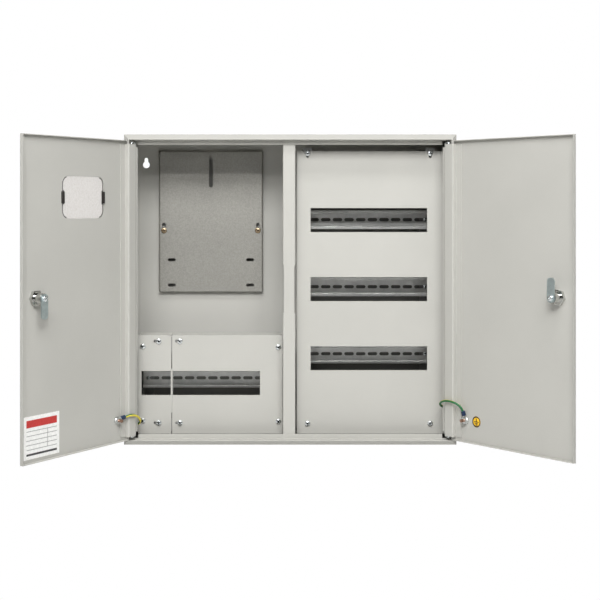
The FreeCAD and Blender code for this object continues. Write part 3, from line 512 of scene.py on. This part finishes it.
def earth_lead_skin(name, phase, twist):
    """Two-coloured cover of an earth lead; the stripes follow the lead's own map."""
    if known_finish(name):
        return known_finish(name)
    look = settings().leads
    made, tree, bsdf, place = new_finish(name)
    chart = put(tree, "ShaderNodeUVMap", uv_map="along")
    parts = put(tree, "ShaderNodeSeparateXYZ", {"Vector": chart.outputs[0]})
    twisted = math_node(tree, "MULTIPLY", parts.outputs["Y"], twist)
    turned = math_node(tree, "ADD", parts.outputs["X"], twisted)
    stripe = math_node(tree, "FRACT", math_node(tree, "ADD", turned, phase))
    mask = math_node(tree, "LESS_THAN", stripe, 0.5)
    factor, first, second = colour_mix(tree, bsdf)
    tree.links.new(mask, factor)
    first.default_value = (*look.yellow, 1.0)
    second.default_value = (*look.green, 1.0)
    marks = put(tree, "ShaderNodeGroup", {"Vector": place}, node_tree=scuff_group())
    tree.links.new(math_node(tree, "ADD", marks.outputs["Rough"], 0.38), bsdf.inputs["Roughness"])
    bumped(tree, bsdf, marks.outputs["Height"], distance=0.00002, strength=0.4)
    return made


# Mesh helpers
def merged(node):
    """A joined-up copy of a CAD node's mesh."""
    mesh = bmesh.new()
    mesh.from_mesh(nodes[node].data)
    bmesh.ops.remove_doubles(mesh, verts=mesh.verts, dist=2e-6)
    return mesh


def islands(mesh):
    """The vertices of each separate solid of a mesh."""
    left = set(mesh.verts)
    found = []
    while left:
        todo = [left.pop()]
        group = []
        while todo:
            vert = todo.pop()
            group.append(vert)
            for edge in vert.link_edges:
                other = edge.other_vert(vert)
                if other in left:
                    left.remove(other)
                    todo.append(other)
        found.append(group)
    return found


def solid_boxes(node):
    """Lowest and highest corner of each solid of a node."""
    mesh = merged(node)
    boxes = []
    for group in islands(mesh):
        low = Vector([min(vert.co[i] for vert in group) for i in range(3)])
        high = Vector([max(vert.co[i] for vert in group) for i in range(3)])
        boxes.append((low, high))
    mesh.free()
    return boxes


def shade(mesh, angle, flat_area=0.00005):
    """Smooth shading on small faces and flat shading on large flat ones."""
    mesh.shade_smooth()
    mesh.set_sharp_from_angle(angle=math.radians(angle))
    for face in mesh.polygons:
        if face.area > flat_area:
            face.use_smooth = False


def mesh_data(name, mesh):
    data = bpy.data.meshes.new(name)
    mesh.to_mesh(data)
    mesh.free()
    return data


def in_scene(name, data):
    made = bpy.data.objects.new(name, data)
    bpy.context.scene.collection.objects.link(made)
    return made


def new_piece(name, mesh, body, finishes, replaced, angle=30):
    """Puts a finished mesh in the scene as a piece of the box."""
    if isinstance(mesh, bmesh.types.BMesh):
        mesh = mesh_data(name, mesh)
    for finish in finishes:
        if finish.name not in mesh.materials:
            mesh.materials.append(finish)
    shade(mesh, angle)
    piece = in_scene(name, mesh)
    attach(piece, body)
    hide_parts(*replaced)


def dressed_mesh(node, radius=0.0, shortest=0.006):
    """A CAD node's shape with joined faces and rounded long edges."""
    mesh = merged(node)
    bmesh.ops.dissolve_limit(
        mesh, angle_limit=math.radians(0.4), verts=mesh.verts, edges=mesh.edges, delimit=set()
    )
    if radius:
        edges = []
        for edge in mesh.edges:
            if len(edge.link_faces) == 2 and edge.calc_length() > shortest:
                if edge.calc_face_angle(0.0) > math.radians(25):
                    edges.append(edge)
        bmesh.ops.bevel(
            mesh, geom=edges, offset=radius, offset_type="OFFSET", segments=2, profile=0.5, affect="EDGES",
            clamp_overlap=True,
        )
    return mesh


def dressed_node(node, finish, radius=0.0, shortest=0.006, angle=30):
    """A CAD node's shape in its finish."""
    mesh = dressed_mesh(node, radius, shortest)
    new_piece(node + "_dressed", mesh, body_of_node[node], [finish], [node], angle)


def door_point(name, u, back, z):
    """A place on an open door, in metres: u from the hinge edge, back from its front face, in millimetres."""
    side = sides[name]
    joint = joints[name + "_door_hinge"]
    pivot = Vector(joint["pos_m"])
    shut = Vector((side * (pivot_inset - u) * mm, (back - pivot_back) * mm, 0.0))
    turn = Matrix.Rotation(-joint["axis"][2] * math.radians(joint["range_deg"][1]), 3, "Z")
    spot = pivot + turn @ shut
    return Vector((spot.x, spot.y, z * mm))


def door_ways(name):
    """Directions on an open door: towards its free edge, and out of its inner face."""
    start = door_point(name, 0, 0, 0)
    along = (door_point(name, 1, 0, 0) - start).normalized()
    inward = (door_point(name, 0, 1, 0) - start).normalized()
    return along, inward


# Screws and nuts by geometry nodes
def fastener_tree():
    """Round or six-sided heads on points; sizes in millimetres, each turned by its own random angle."""
    if "fasteners_on_points" in bpy.data.node_groups:
        return bpy.data.node_groups["fasteners_on_points"]
    tree, given, out = new_group(
        "GeometryNodeTree", "fasteners_on_points",
        (("Points", "NodeSocketGeometry", None), ("Sides", "NodeSocketInt", 28),
         ("Radius", "NodeSocketFloat", 4.5), ("Height", "NodeSocketFloat", 2.8),
         ("Crown", "NodeSocketFloat", 0.62), ("Crown Top", "NodeSocketFloat", 0.52),
         ("Cross", "NodeSocketBool", True), ("Cross Length", "NodeSocketFloat", 5.2),
         ("Cross Width", "NodeSocketFloat", 1.1), ("Cross Depth", "NodeSocketFloat", 1.5),
         ("Random Turn", "NodeSocketFloat", 6.28), ("Seed", "NodeSocketInt", 4),
         ("Finish", "NodeSocketMaterial", None)),
        (("Fasteners", "NodeSocketGeometry"),),
    )
    sizes = given.outputs
    disc_inputs = {"Vertices": sizes["Sides"], "Radius": sizes["Radius"]}
    disc = put(tree, "GeometryNodeMeshCircle", disc_inputs, fill_type="NGON").outputs["Mesh"]
    straight = math_node(tree, "SUBTRACT", 1.0, sizes["Crown"])
    second = math_node(tree, "MULTIPLY", sizes["Crown"], 0.62)
    third = math_node(tree, "MULTIPLY", sizes["Crown"], 0.38)
    top_scale = sizes["Crown Top"]
    # The ring between rim and top is wider than half way, for a domed head
    middle_scale = math_node(tree, "MULTIPLY", math_node(tree, "ADD", top_scale, 1.55), 0.41)
    shape = disc
    selection = None
    for share, scale in ((straight, None), (second, middle_scale), (third, top_scale)):
        reach = math_node(tree, "MULTIPLY", share, sizes["Height"])
        inputs = {"Mesh": shape, "Offset Scale": reach, "Individual": False}
        step = put(tree, "GeometryNodeExtrudeMesh", inputs)
        if selection is not None:
            tree.links.new(selection, step.inputs["Selection"])
        shape, selection = step.outputs["Mesh"], step.outputs["Top"]
        if scale is not None:
            inputs = {"Geometry": shape, "Selection": selection, "Scale": scale}
            shape = put(tree, "GeometryNodeScaleElements", inputs).outputs["Geometry"]
    base = put(tree, "GeometryNodeFlipFaces", {"Mesh": disc}).outputs["Mesh"]
    closed = put(tree, "GeometryNodeJoinGeometry")
    tree.links.new(shape, closed.inputs[0])
    tree.links.new(base, closed.inputs[0])
    inputs = {"Geometry": closed.outputs[0], "Distance": 0.001}
    head = put(tree, "GeometryNodeMergeByDistance", inputs).outputs[0]
    arms = put(tree, "GeometryNodeJoinGeometry")
    deep = math_node(tree, "MULTIPLY", sizes["Cross Depth"], 2.0)
    for first, other in (("Cross Length", "Cross Width"), ("Cross Width", "Cross Length")):
        size = put(tree, "ShaderNodeCombineXYZ", {"X": sizes[first], "Y": sizes[other], "Z": deep})
        arm = put(tree, "GeometryNodeMeshCube", {"Size": size.outputs[0]})
        lift = put(tree, "ShaderNodeCombineXYZ", {"Z": sizes["Height"]})
        inputs = {"Geometry": arm.outputs[0], "Translation": lift.outputs[0]}
        moved = put(tree, "GeometryNodeTransform", inputs)
        tree.links.new(moved.outputs[0], arms.inputs[0])
    inputs = {0: head, 1: arms.outputs[0]}
    cut = put(tree, "GeometryNodeMeshBoolean", inputs, operation="DIFFERENCE")
    inputs = {0: sizes["Cross"], 1: head, 2: cut.outputs[0]}
    choice = put(tree, "GeometryNodeSwitch", inputs, input_type="GEOMETRY")
    small = put(tree, "GeometryNodeTransform", {"Geometry": choice.outputs[0], "Scale": (mm, mm, mm)})
    facing = put(tree, "GeometryNodeInputNamedAttribute", {"Name": "facing"}, data_type="FLOAT_VECTOR")
    way = put(tree, "FunctionNodeAlignRotationToVector", {"Vector": facing.outputs[0]}, axis="Z")
    inputs = {3: sizes["Random Turn"], "Seed": sizes["Seed"]}
    roll = put(tree, "FunctionNodeRandomValue", inputs, data_type="FLOAT")
    spin = put(tree, "ShaderNodeCombineXYZ", {"Z": roll.outputs[1]})
    spun = put(tree, "FunctionNodeEulerToRotation", {0: spin.outputs[0]})
    inputs = {0: way.outputs[0], 1: spun.outputs[0]}
    turned = put(tree, "FunctionNodeRotateRotation", inputs, rotation_space="LOCAL")
    inputs = {"Points": sizes["Points"], "Instance": small.outputs[0], "Rotation": turned.outputs[0]}
    placed = put(tree, "GeometryNodeInstanceOnPoints", inputs)
    real = put(tree, "GeometryNodeRealizeInstances", {"Geometry": placed.outputs[0]})
    finish = put(tree, "GeometryNodeSetMaterial", {"Geometry": real.outputs[0], "Material": sizes["Finish"]})
    tree.links.new(finish.outputs[0], out.inputs[0])
    return tree


def fasteners(name, places, body, finish, replaced, slot, **sizes):
    """One mesh of like fasteners; places are pairs of a seat point and the way the head faces."""
    carrier = bpy.data.meshes.new(name + "_places")
    carrier.from_pydata([spot for spot, _ in places], [], [])
    ways = carrier.attributes.new("facing", "FLOAT_VECTOR", "POINT")
    for item, (_, way) in zip(ways.data, places):
        item.vector = way
    holder = in_scene(name + "_holder", carrier)
    tree = fastener_tree()
    sockets = {item.name: item.identifier for item in tree.interface.items_tree if item.in_out == "INPUT"}
    modifier = holder.modifiers.new("fasteners", "NODES")
    modifier.node_group = tree
    for key, value in sizes.items():
        modifier[sockets[key.replace("_", " ").title()]] = value
    modifier[sockets["Finish"]] = finish
    bpy.context.view_layer.update()
    ready = holder.evaluated_get(bpy.context.evaluated_depsgraph_get())
    mesh = bpy.data.meshes.new_from_object(ready)
    mesh.name = name
    holder.modifiers.remove(modifier)
    bpy.data.objects.remove(holder)
    if not mesh.vertices:
        raise RuntimeError("no fasteners were made for " + name)
    new_piece(name, mesh, body, [finish], replaced, 32)


def front_places(node, head_height):
    """Seats of the screws of a node whose heads face the front."""
    places = []
    for low, high in solid_boxes(node):
        middle = (low + high) / 2
        places.append((Vector((middle.x, low.y + head_height, middle.z)), Vector((0, -1, 0))))
    return places


# Operators
class METERBOX_OT_painted_sheet(bpy.types.Operator):
    """Powder coat on the shell, the post, the covers and the doors, with rounded sheet edges"""

    bl_idname = "meterbox.painted_sheet"
    bl_label = "Painted sheet"

    def execute(self, context):
        for node in painted_nodes:
            dressed_node(node, powder_coat(), settings().paint.fold_radius)
        return {"FINISHED"}


class METERBOX_OT_galvanised_sheet(bpy.types.Operator):
    """Spangled zinc on the meter plate, plain zinc on the rails, the uprights and the brackets"""

    bl_idname = "meterbox.galvanised_sheet"
    bl_label = "Galvanised sheet"

    def execute(self, context):
        look = settings().sheet
        plate_finish = galvanised("galvanised_plate", look.zinc_colour, metallic=0.8, rough=0.46)
        dressed_node("meter_plate", plate_finish, radius=0.00025)
        for node in rail_nodes:
            finish = plated("rail_zinc", look.rail_colour, rough=0.36, metallic=0.8, size=0.02)
            dressed_node(node, finish, radius=0.0002)
        for node in bracket_nodes:
            dressed_node(node, metal("bracket_zinc"), radius=0.0002)
        dressed_node("meter_plate_bosses", metal("bright_zinc"))
        return {"FINISHED"}


class METERBOX_OT_screws(bpy.types.Operator):
    """Pan-head screws of the covers, the rails and the meter plate"""

    bl_idname = "meterbox.screws"
    bl_label = "Screws"

    def execute(self, context):
        look = settings().screws
        for node in ("right_cover_screws", "left_narrow_cover_screws", "left_wide_cover_screws"):
            places = front_places(node, look.head_height)
            fasteners(
                node + "_heads", places, "cabinet", metal("bright_zinc"), [node], "bright_zinc",
                radius=look.head_radius / mm, height=look.head_height / mm, cross_length=6.2, cross_width=1.3,
                seed=look.seed + len(node),
            )
        fasteners(
            "rail_screw_heads", front_places("rail_screws", look.rail_head_height), "cabinet",
            metal("bright_zinc"), ["rail_screws"], "bright_zinc",
            radius=rail_screw_radius, height=look.rail_head_height / mm, cross_length=4.4, cross_depth=1.2,
            seed=look.seed,
        )
        fasteners(
            "meter_plate_screw_heads", front_places("meter_plate_screws", look.plate_head_height), "cabinet",
            metal("yellow_zinc"), ["meter_plate_screws"], "yellow_zinc",
            radius=plate_screw_radius, height=look.plate_head_height / mm, cross_length=6.4, cross_width=1.3,
            seed=look.seed,
        )
        return {"FINISHED"}


class METERBOX_OT_locks(bpy.types.Operator):
    """Cam locks: body, nut, plug, cam and cam screw on each door"""

    bl_idname = "meterbox.locks"
    bl_label = "Cam locks"

    def execute(self, context):
        for name in sides:
            dressed_node(name + "_lock_body", metal("lock_chrome"), angle=35)
            dressed_node(name + "_lock_plug", metal("lock_chrome"), angle=35)
            dressed_node(name + "_lock_cam", metal("cam_zinc"), radius=0.0003, shortest=0.002, angle=35)
            dressed_node(name + "_cam_screw", metal("bright_zinc"), angle=35)
            inward = door_ways(name)[1]
            low, high = solid_boxes(name + "_lock_nut")[0]
            seat = (low + high) / 2 - inward * lock_nut_height * mm / 2
            fasteners(
                name + "_lock_hex_nut", [(seat, inward)], name + "_door", metal("lock_chrome"),
                [name + "_lock_nut"], "bright_zinc", sides=6, radius=lock_nut_flats / math.sqrt(3),
                height=lock_nut_height, crown=0.18, crown_top=0.93, cross=False, random_turn=0.0,
            )
        return {"FINISHED"}


class METERBOX_OT_hinges(bpy.types.Operator):
    """Bent hinge rods at the corners of the recess"""

    bl_idname = "meterbox.hinges"
    bl_label = "Hinge rods"

    def execute(self, context):
        for name in sides:
            for place in ("upper", "lower"):
                dressed_node("%s_%s_hinge_rod" % (name, place), metal("bright_zinc"), angle=50)
        return {"FINISHED"}


class METERBOX_OT_window(bpy.types.Operator):
    """Hazy pane of the left door, with painted shade on its clips and along its side edges"""

    bl_idname = "meterbox.window"
    bl_label = "Window pane"

    def execute(self, context):
        mesh = dressed_mesh("window_pane", radius=0.0003, shortest=0.004)
        start = door_point("left", 0, sheet_thickness, 0)
        along, inward = door_ways("left")
        # Faces that stand above the door's inner face are the clips; they get the painted shade in slot 1
        level = []
        for face in mesh.faces:
            rise = (face.calc_center_median() - start).dot(inward)
            if rise > 0.1 * mm:
                face.material_index = 1
            elif rise > -0.1 * mm and face.normal.dot(inward) > 0.9:
                level.append(face)
        body = max(level, key=lambda face: face.calc_area())
        middle = body.calc_center_bounds()
        reach = max((vert.co - middle).dot(along) for vert in body.verts)
        # A narrow ring along the pane's side edges also gets the painted shade, in place of the shadowed gap round
        # the pane
        rim = bmesh.ops.inset_region(mesh, faces=[body], thickness=pane_rim * mm, use_even_offset=True)
        for face in rim["faces"]:
            if abs((face.calc_center_median() - middle).dot(along)) > reach - pane_rim_reach * mm:
                face.material_index = 1
        # Slot 1 is a near-black painted shade on the clips and the side edges of the pane
        finishes = [hazy_pane(), plastic("pane_painted_shade", (0.025, 0.022, 0.02), 0.4)]
        new_piece("window_pane_dressed", mesh, "left_door", finishes, ["window_pane"], 35)
        return {"FINISHED"}


# Control points of each earth lead in millimetres, from the door's lug to the wall's lug
lead_routes = {
    "left": (
        (-300.62, -193.95, -226.5), (-292.94, -188.68, -224.0), (-282.7, -183.5, -221.5),
        (-274.0, -169.0, -226.0), (-270.5, -156.0, -234.5), (-272.5, -144.0, -243.0),
        (-285.0, -138.0, -248.0), (-291.0, -135.5, -250.8),
    ),
    "right": (
        (308.3, -197.36, -221.0), (305.18, -196.67, -210.0), (299.5, -194.0, -202.5),
        (288.5, -189.0, -197.5), (278.0, -177.0, -197.0), (271.5, -163.0, -201.5),
        (270.5, -152.0, -207.0), (274.0, -142.0, -212.0), (286.0, -137.0, -217.5),
        (291.5, -135.0, -220.3),
    ),
}


def smooth_line(points):
    """Points read from a smooth curve that has the route's points as its control points."""
    curve = bpy.data.curves.new("lead_route", "CURVE")
    curve.dimensions = "3D"
    spline = curve.splines.new("NURBS")
    spline.points.add(len(points) - 1)
    for point, spot in zip(spline.points, points):
        point.co = (spot[0] * mm, spot[1] * mm, spot[2] * mm, 1.0)
    spline.order_u = 3
    spline.use_endpoint_u = True
    curve.resolution_u = 12
    holder = bpy.data.objects.new("lead_route", curve)
    mesh = bpy.data.meshes.new_from_object(holder)
    line = [vert.co.copy() for vert in mesh.vertices]
    bpy.data.objects.remove(holder)
    bpy.data.meshes.remove(mesh)
    bpy.data.curves.remove(curve)
    return line


def tube_mesh(name, line, radius, around=14):
    """A closed round tube along a line, with a map of its turn and its length."""
    rings = []
    lengths = [0.0]
    for before, here in zip(line, line[1:]):
        lengths.append(lengths[-1] + (here - before).length)
    tangent = (line[1] - line[0]).normalized()
    side = tangent.orthogonal().normalized()
    mesh = bmesh.new()
    for i, spot in enumerate(line):
        onward = (line[min(i + 1, len(line) - 1)] - line[max(i - 1, 0)]).normalized()
        side = (tangent.rotation_difference(onward) @ side).normalized()
        tangent = onward
        across = tangent.cross(side)
        ring = []
        for step in range(around):
            angle = 2 * math.pi * step / around
            ring.append(mesh.verts.new(spot + (side * math.cos(angle) + across * math.sin(angle)) * radius))
        rings.append(ring)
    chart = mesh.loops.layers.uv.new("along")
    for i, (first, second) in enumerate(zip(rings, rings[1:])):
        for step in range(around):
            onward = (step + 1) % around
            face = mesh.faces.new((first[step], first[onward], second[onward], second[step]))
            turns = (step / around, (step + 1) / around, (step + 1) / around, step / around)
            ends = (lengths[i], lengths[i], lengths[i + 1], lengths[i + 1])
            for loop, turn, reach in zip(face.loops, turns, ends):
                loop[chart].uv = (turn, reach)
    mesh.faces.new(rings[0][::-1])
    mesh.faces.new(rings[-1])
    return mesh_data(name, mesh), lengths[-1]


class METERBOX_OT_earth(bpy.types.Operator):
    """Earth leads with lugs, sleeves, studs and nuts"""

    bl_idname = "meterbox.earth"
    bl_label = "Earth leads"

    def execute(self, context):
        look = settings().leads
        for name in sides:
            line = smooth_line(lead_routes[name])
            data, length = tube_mesh(name + "_lead_cover", line, look.diameter / 2)
            skin = earth_lead_skin(name + "_lead_skin", lead_stripe_starts[name], lead_turns_per_metre)
            data.materials.append(skin)
            shade(data, angle=60)
            lead = in_scene(name + "_lead_cover", data)
            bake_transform(lead)
            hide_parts(name + "_earth_lead")
            dressed_node(name + "_lug_sleeve", plastic("sleeve_blue", look.sleeve, 0.36), angle=40)
            dressed_node(name + "_door_lug", metal("tinned_lug"), angle=35)
            dressed_node(name + "_wall_lug", metal("tinned_lug"), angle=35)
            dressed_node(name + "_door_earth_stud", metal("stud_copper"), angle=40)
            dressed_node(name + "_door_earth_nut", metal("bright_zinc"), angle=35)
        dressed_node("wall_earth_studs", metal("stud_copper"), angle=40)
        dressed_node("wall_earth_nuts", metal("bright_zinc"), angle=35)
        return {"FINISHED"}


def printed_block(mesh, name, middle, across, upright, width, height, slot):
    """A thin closed patch of print on a sticker's face, round its middle; sizes in millimetres."""
    along, inward = door_ways(name)
    up = Vector((0, 0, 1))
    corners = []
    for rise in (print_sunk, print_raised):
        for b in (-0.5, 0.5):
            for a in (-0.5, 0.5):
                flat = along * (across + a * width) + up * (upright + b * height) + inward * rise
                corners.append(mesh.verts.new(middle + flat * mm))
    faces = []
    for ids in ((0, 1, 3, 2), (4, 5, 7, 6), (0, 1, 5, 4), (2, 3, 7, 6), (0, 2, 6, 4), (1, 3, 7, 5)):
        faces.append(mesh.faces.new([corners[i] for i in ids]))
    finish_print(mesh, faces, slot)


def printed_ring(mesh, name, middle, inner, outer, slot, count=40):
    """A thin closed ring of print on a sticker's face; radii in millimetres."""
    along, inward = door_ways(name)
    up = Vector((0, 0, 1))
    profile = ((inner, print_sunk), (outer, print_sunk), (outer, print_raised), (inner, print_raised))
    rings = []
    for step in range(count):
        angle = 2 * math.pi * step / count
        way = along * math.cos(angle) + up * math.sin(angle)
        ring = []
        for radius, rise in profile:
            ring.append(mesh.verts.new(middle + (way * radius + inward * rise) * mm))
        rings.append(ring)
    faces = []
    for first, second in zip(rings, rings[1:] + rings[:1]):
        for i in range(4):
            k = (i + 1) % 4
            faces.append(mesh.faces.new((first[i], first[k], second[k], second[i])))
    finish_print(mesh, faces, slot)


def finish_print(mesh, faces, slot):
    for face in faces:
        face.material_index = slot
    bmesh.ops.recalc_face_normals(mesh, faces=faces)


def sticker_middle(mesh, name):
    """Middle of a sticker's face."""
    inward = door_ways(name)[1]
    centre = sum((vert.co for vert in mesh.verts), Vector()) / len(mesh.verts)
    rise = max((vert.co - centre).dot(inward) for vert in mesh.verts)
    return centre + inward * rise


class METERBOX_OT_stickers(bpy.types.Operator):
    """Plain form sticker on the left door and round earth sign on the right door"""

    bl_idname = "meterbox.stickers"
    bl_label = "Stickers"

    def execute(self, context):
        self.form()
        self.sign()
        return {"FINISHED"}

    def form(self):
        """An empty form: a colour band, ruled rows, one column line and a dark foot."""
        mesh = merged("label_sticker")
        middle = sticker_middle(mesh, "left")
        band, rule, foot = 1, 2, 3
        wide = 73
        rule_width = 1.1
        printed_block(mesh, "left", middle, 0, 22.5, wide, 12, band)
        for row in range(5):
            printed_block(mesh, "left", middle, 0, 10.5 - 7.5 * row, wide, rule_width, rule)
        printed_block(mesh, "left", middle, -14, -4.5, rule_width, 30, rule)
        printed_block(mesh, "left", middle, 0, -27.5, wide, 3.4, foot)
        finishes = [
            plastic("label_paper", (0.86, 0.86, 0.84), 0.5), plastic("label_red", (0.52, 0.035, 0.03), 0.5),
            plastic("label_grey", (0.34, 0.34, 0.33), 0.5), plastic("label_dark", (0.035, 0.035, 0.035), 0.5),
        ]
        new_piece("label_form", mesh, "left_door", finishes, ["label_sticker"])

    def sign(self):
        """Yellow disc with a dark ring and the plain sign of an earth connection."""
        mesh = merged("earth_sign")
        middle = sticker_middle(mesh, "right")
        dark = 1
        printed_ring(mesh, "right", middle, 7.5, 9.7, dark)
        printed_block(mesh, "right", middle, 0, 3.1, 1.7, 5.6, dark)
        for level, width in ((-0.3, 10.6), (-2.9, 7.0), (-5.4, 3.4)):
            printed_block(mesh, "right", middle, 0, level, width, 1.4, dark)
        finishes = [
            plastic("sign_paper", (0.80, 0.47, 0.015), 0.45),
            plastic("sign_dark", (0.035, 0.022, 0.008), 0.45),
        ]
        new_piece("earth_sign_disc", mesh, "right_door", finishes, ["earth_sign"])


class METERBOX_OT_stage(bpy.types.Operator):
    """Pale floor, studio light and the camera"""

    bl_idname = "meterbox.stage"
    bl_label = "Stage"

    def execute(self, context):
        look = settings().stage
        scene = context.scene
        scene.view_settings.view_transform = "Standard"
        self.floor(look)
        self.world(look)
        self.lights(look)
        camera = bpy.data.cameras.new("camera")
        camera.lens = look.lens
        camera.sensor_width = 36.0
        camera.shift_x, camera.shift_y = look.shift
        camera.clip_end = 50.0
        holder = in_scene("camera", camera)
        holder.location = look.eye
        holder.rotation_euler = (math.radians(90), 0, 0)
        scene.camera = holder
        return {"FINISHED"}

    def white_to_camera(self, tree, lit, white):
        """Shows plain white to the camera and the lit surface to every other ray."""
        seen = put(tree, "ShaderNodeLightPath").outputs["Is Camera Ray"]
        inputs = {0: seen, 1: lit.outputs[0], 2: white.outputs[0]}
        return put(tree, "ShaderNodeMixShader", inputs).outputs[0]

    def floor(self, look):
        made, tree, bsdf, place = new_finish("pale_floor")
        cloud = noise(tree, place, 3.0)
        tinted(tree, bsdf, (0.68, 0.68, 0.67), ranged(tree, cloud, 0.3, 0.7, 0.99, 1.01))
        bsdf.inputs["Roughness"].default_value = 0.8
        white = put(tree, "ShaderNodeEmission", {"Color": (1, 1, 1, 1), "Strength": 1.0})
        above = self.white_to_camera(tree, bsdf, white)
        below = put(tree, "ShaderNodeNewGeometry").outputs["Backfacing"]
        clear = put(tree, "ShaderNodeBsdfTransparent").outputs[0]
        one_sided = put(tree, "ShaderNodeMixShader", {0: below, 1: above, 2: clear})
        tree.links.new(one_sided.outputs[0], tree.nodes["Material Output"].inputs["Surface"])
        mesh = bmesh.new()
        bmesh.ops.create_grid(mesh, x_segments=2, y_segments=2, size=12.0)
        bmesh.ops.translate(mesh, verts=mesh.verts, vec=(0, 0, cad_box[0][2] - look.floor_gap))
        data = mesh_data("floor", mesh)
        data.materials.append(made)
        in_scene("floor", data)

    def world(self, look):
        world = bpy.data.worlds.new("pale_room")
        world.use_nodes = True
        tree = world.node_tree
        ground = tree.nodes["Background"]
        ground.inputs["Color"].default_value = (1.0, 1.0, 1.0, 1.0)
        way = put(tree, "ShaderNodeTexCoord").outputs["Generated"]
        backwards = put(tree, "ShaderNodeSeparateXYZ", {"Vector": way}).outputs["Y"]
        strength = ranged(tree, backwards, 0.1, 0.7, look.room, look.back_room)
        tree.links.new(strength, ground.inputs["Strength"])
        white = put(tree, "ShaderNodeBackground", {"Color": (1, 1, 1, 1), "Strength": 1.0})
        room = self.white_to_camera(tree, ground, white)
        tree.links.new(room, tree.nodes["World Output"].inputs["Surface"])
        bpy.context.scene.world = world

    def lights(self, look):
        self.lamp("key", look.key_power, look.key_place, width=0.12, height=0.12)
        self.lamp("softbox", look.softbox_power, (0.0, -2.355, 1.631), width=2.0, height=0.75)
        self.lamp("top_light", look.top_power, (0.0, -1.587, 2.424), width=2.0, height=0.45)
        self.lamp("fill", look.fill_power, (-0.5, -2.6, 0.5), width=0.3, height=0.3)
        for name, side in sides.items():
            self.lamp(name + "_back_light", look.back_power, (side * 1.9, 1.7, 0.42), width=1.0, height=0.6)

    def lamp(self, name, power, place, width, height):
        lamp = bpy.data.lights.new(name, "AREA")
        lamp.shape = "RECTANGLE"
        lamp.size = width
        lamp.size_y = height
        lamp.energy = power
        holder = in_scene(name, lamp)
        holder.location = place
        holder.rotation_euler = (lit_point - Vector(place)).to_track_quat("-Z", "Y").to_euler()


operators = (
    METERBOX_OT_painted_sheet, METERBOX_OT_galvanised_sheet, METERBOX_OT_screws, METERBOX_OT_locks,
    METERBOX_OT_hinges, METERBOX_OT_window, METERBOX_OT_earth, METERBOX_OT_stickers, METERBOX_OT_stage,
)


class METERBOX_PT_panel(bpy.types.Panel):
    """Lists the pieces of the meter box"""

    bl_idname = "METERBOX_PT_panel"
    bl_label = "Meter box"
    bl_space_type = "VIEW_3D"
    bl_region_type = "UI"
    bl_category = "Meter box"

    def draw(self, context):
        for group in ("paint", "sheet", "screws", "leads", "stage"):
            look = getattr(context.scene.meter_box, group)
            for key in look.bl_rna.properties.keys():
                if key not in ("rna_type", "name"):
                    self.layout.prop(look, key)
        for operator in operators:
            self.layout.operator(operator.bl_idname)


classes = (
    PaintSettings, SheetSettings, ScrewSettings, LeadSettings, StageSettings, MeterBoxSettings, *operators,
    METERBOX_PT_panel,
)


def register():
    for item in classes:
        bpy.utils.register_class(item)
    bpy.types.Scene.meter_box = PointerProperty(type=MeterBoxSettings)


def unregister():
    del bpy.types.Scene.meter_box
    for item in reversed(classes):
        bpy.utils.unregister_class(item)


def main():
    register()
    bpy.ops.meterbox.painted_sheet()
    bpy.ops.meterbox.galvanised_sheet()
    bpy.ops.meterbox.screws()
    bpy.ops.meterbox.locks()
    bpy.ops.meterbox.hinges()
    bpy.ops.meterbox.window()
    bpy.ops.meterbox.earth()
    bpy.ops.meterbox.stickers()
    bpy.ops.meterbox.stage()


if __name__ == "__main__":
    main()
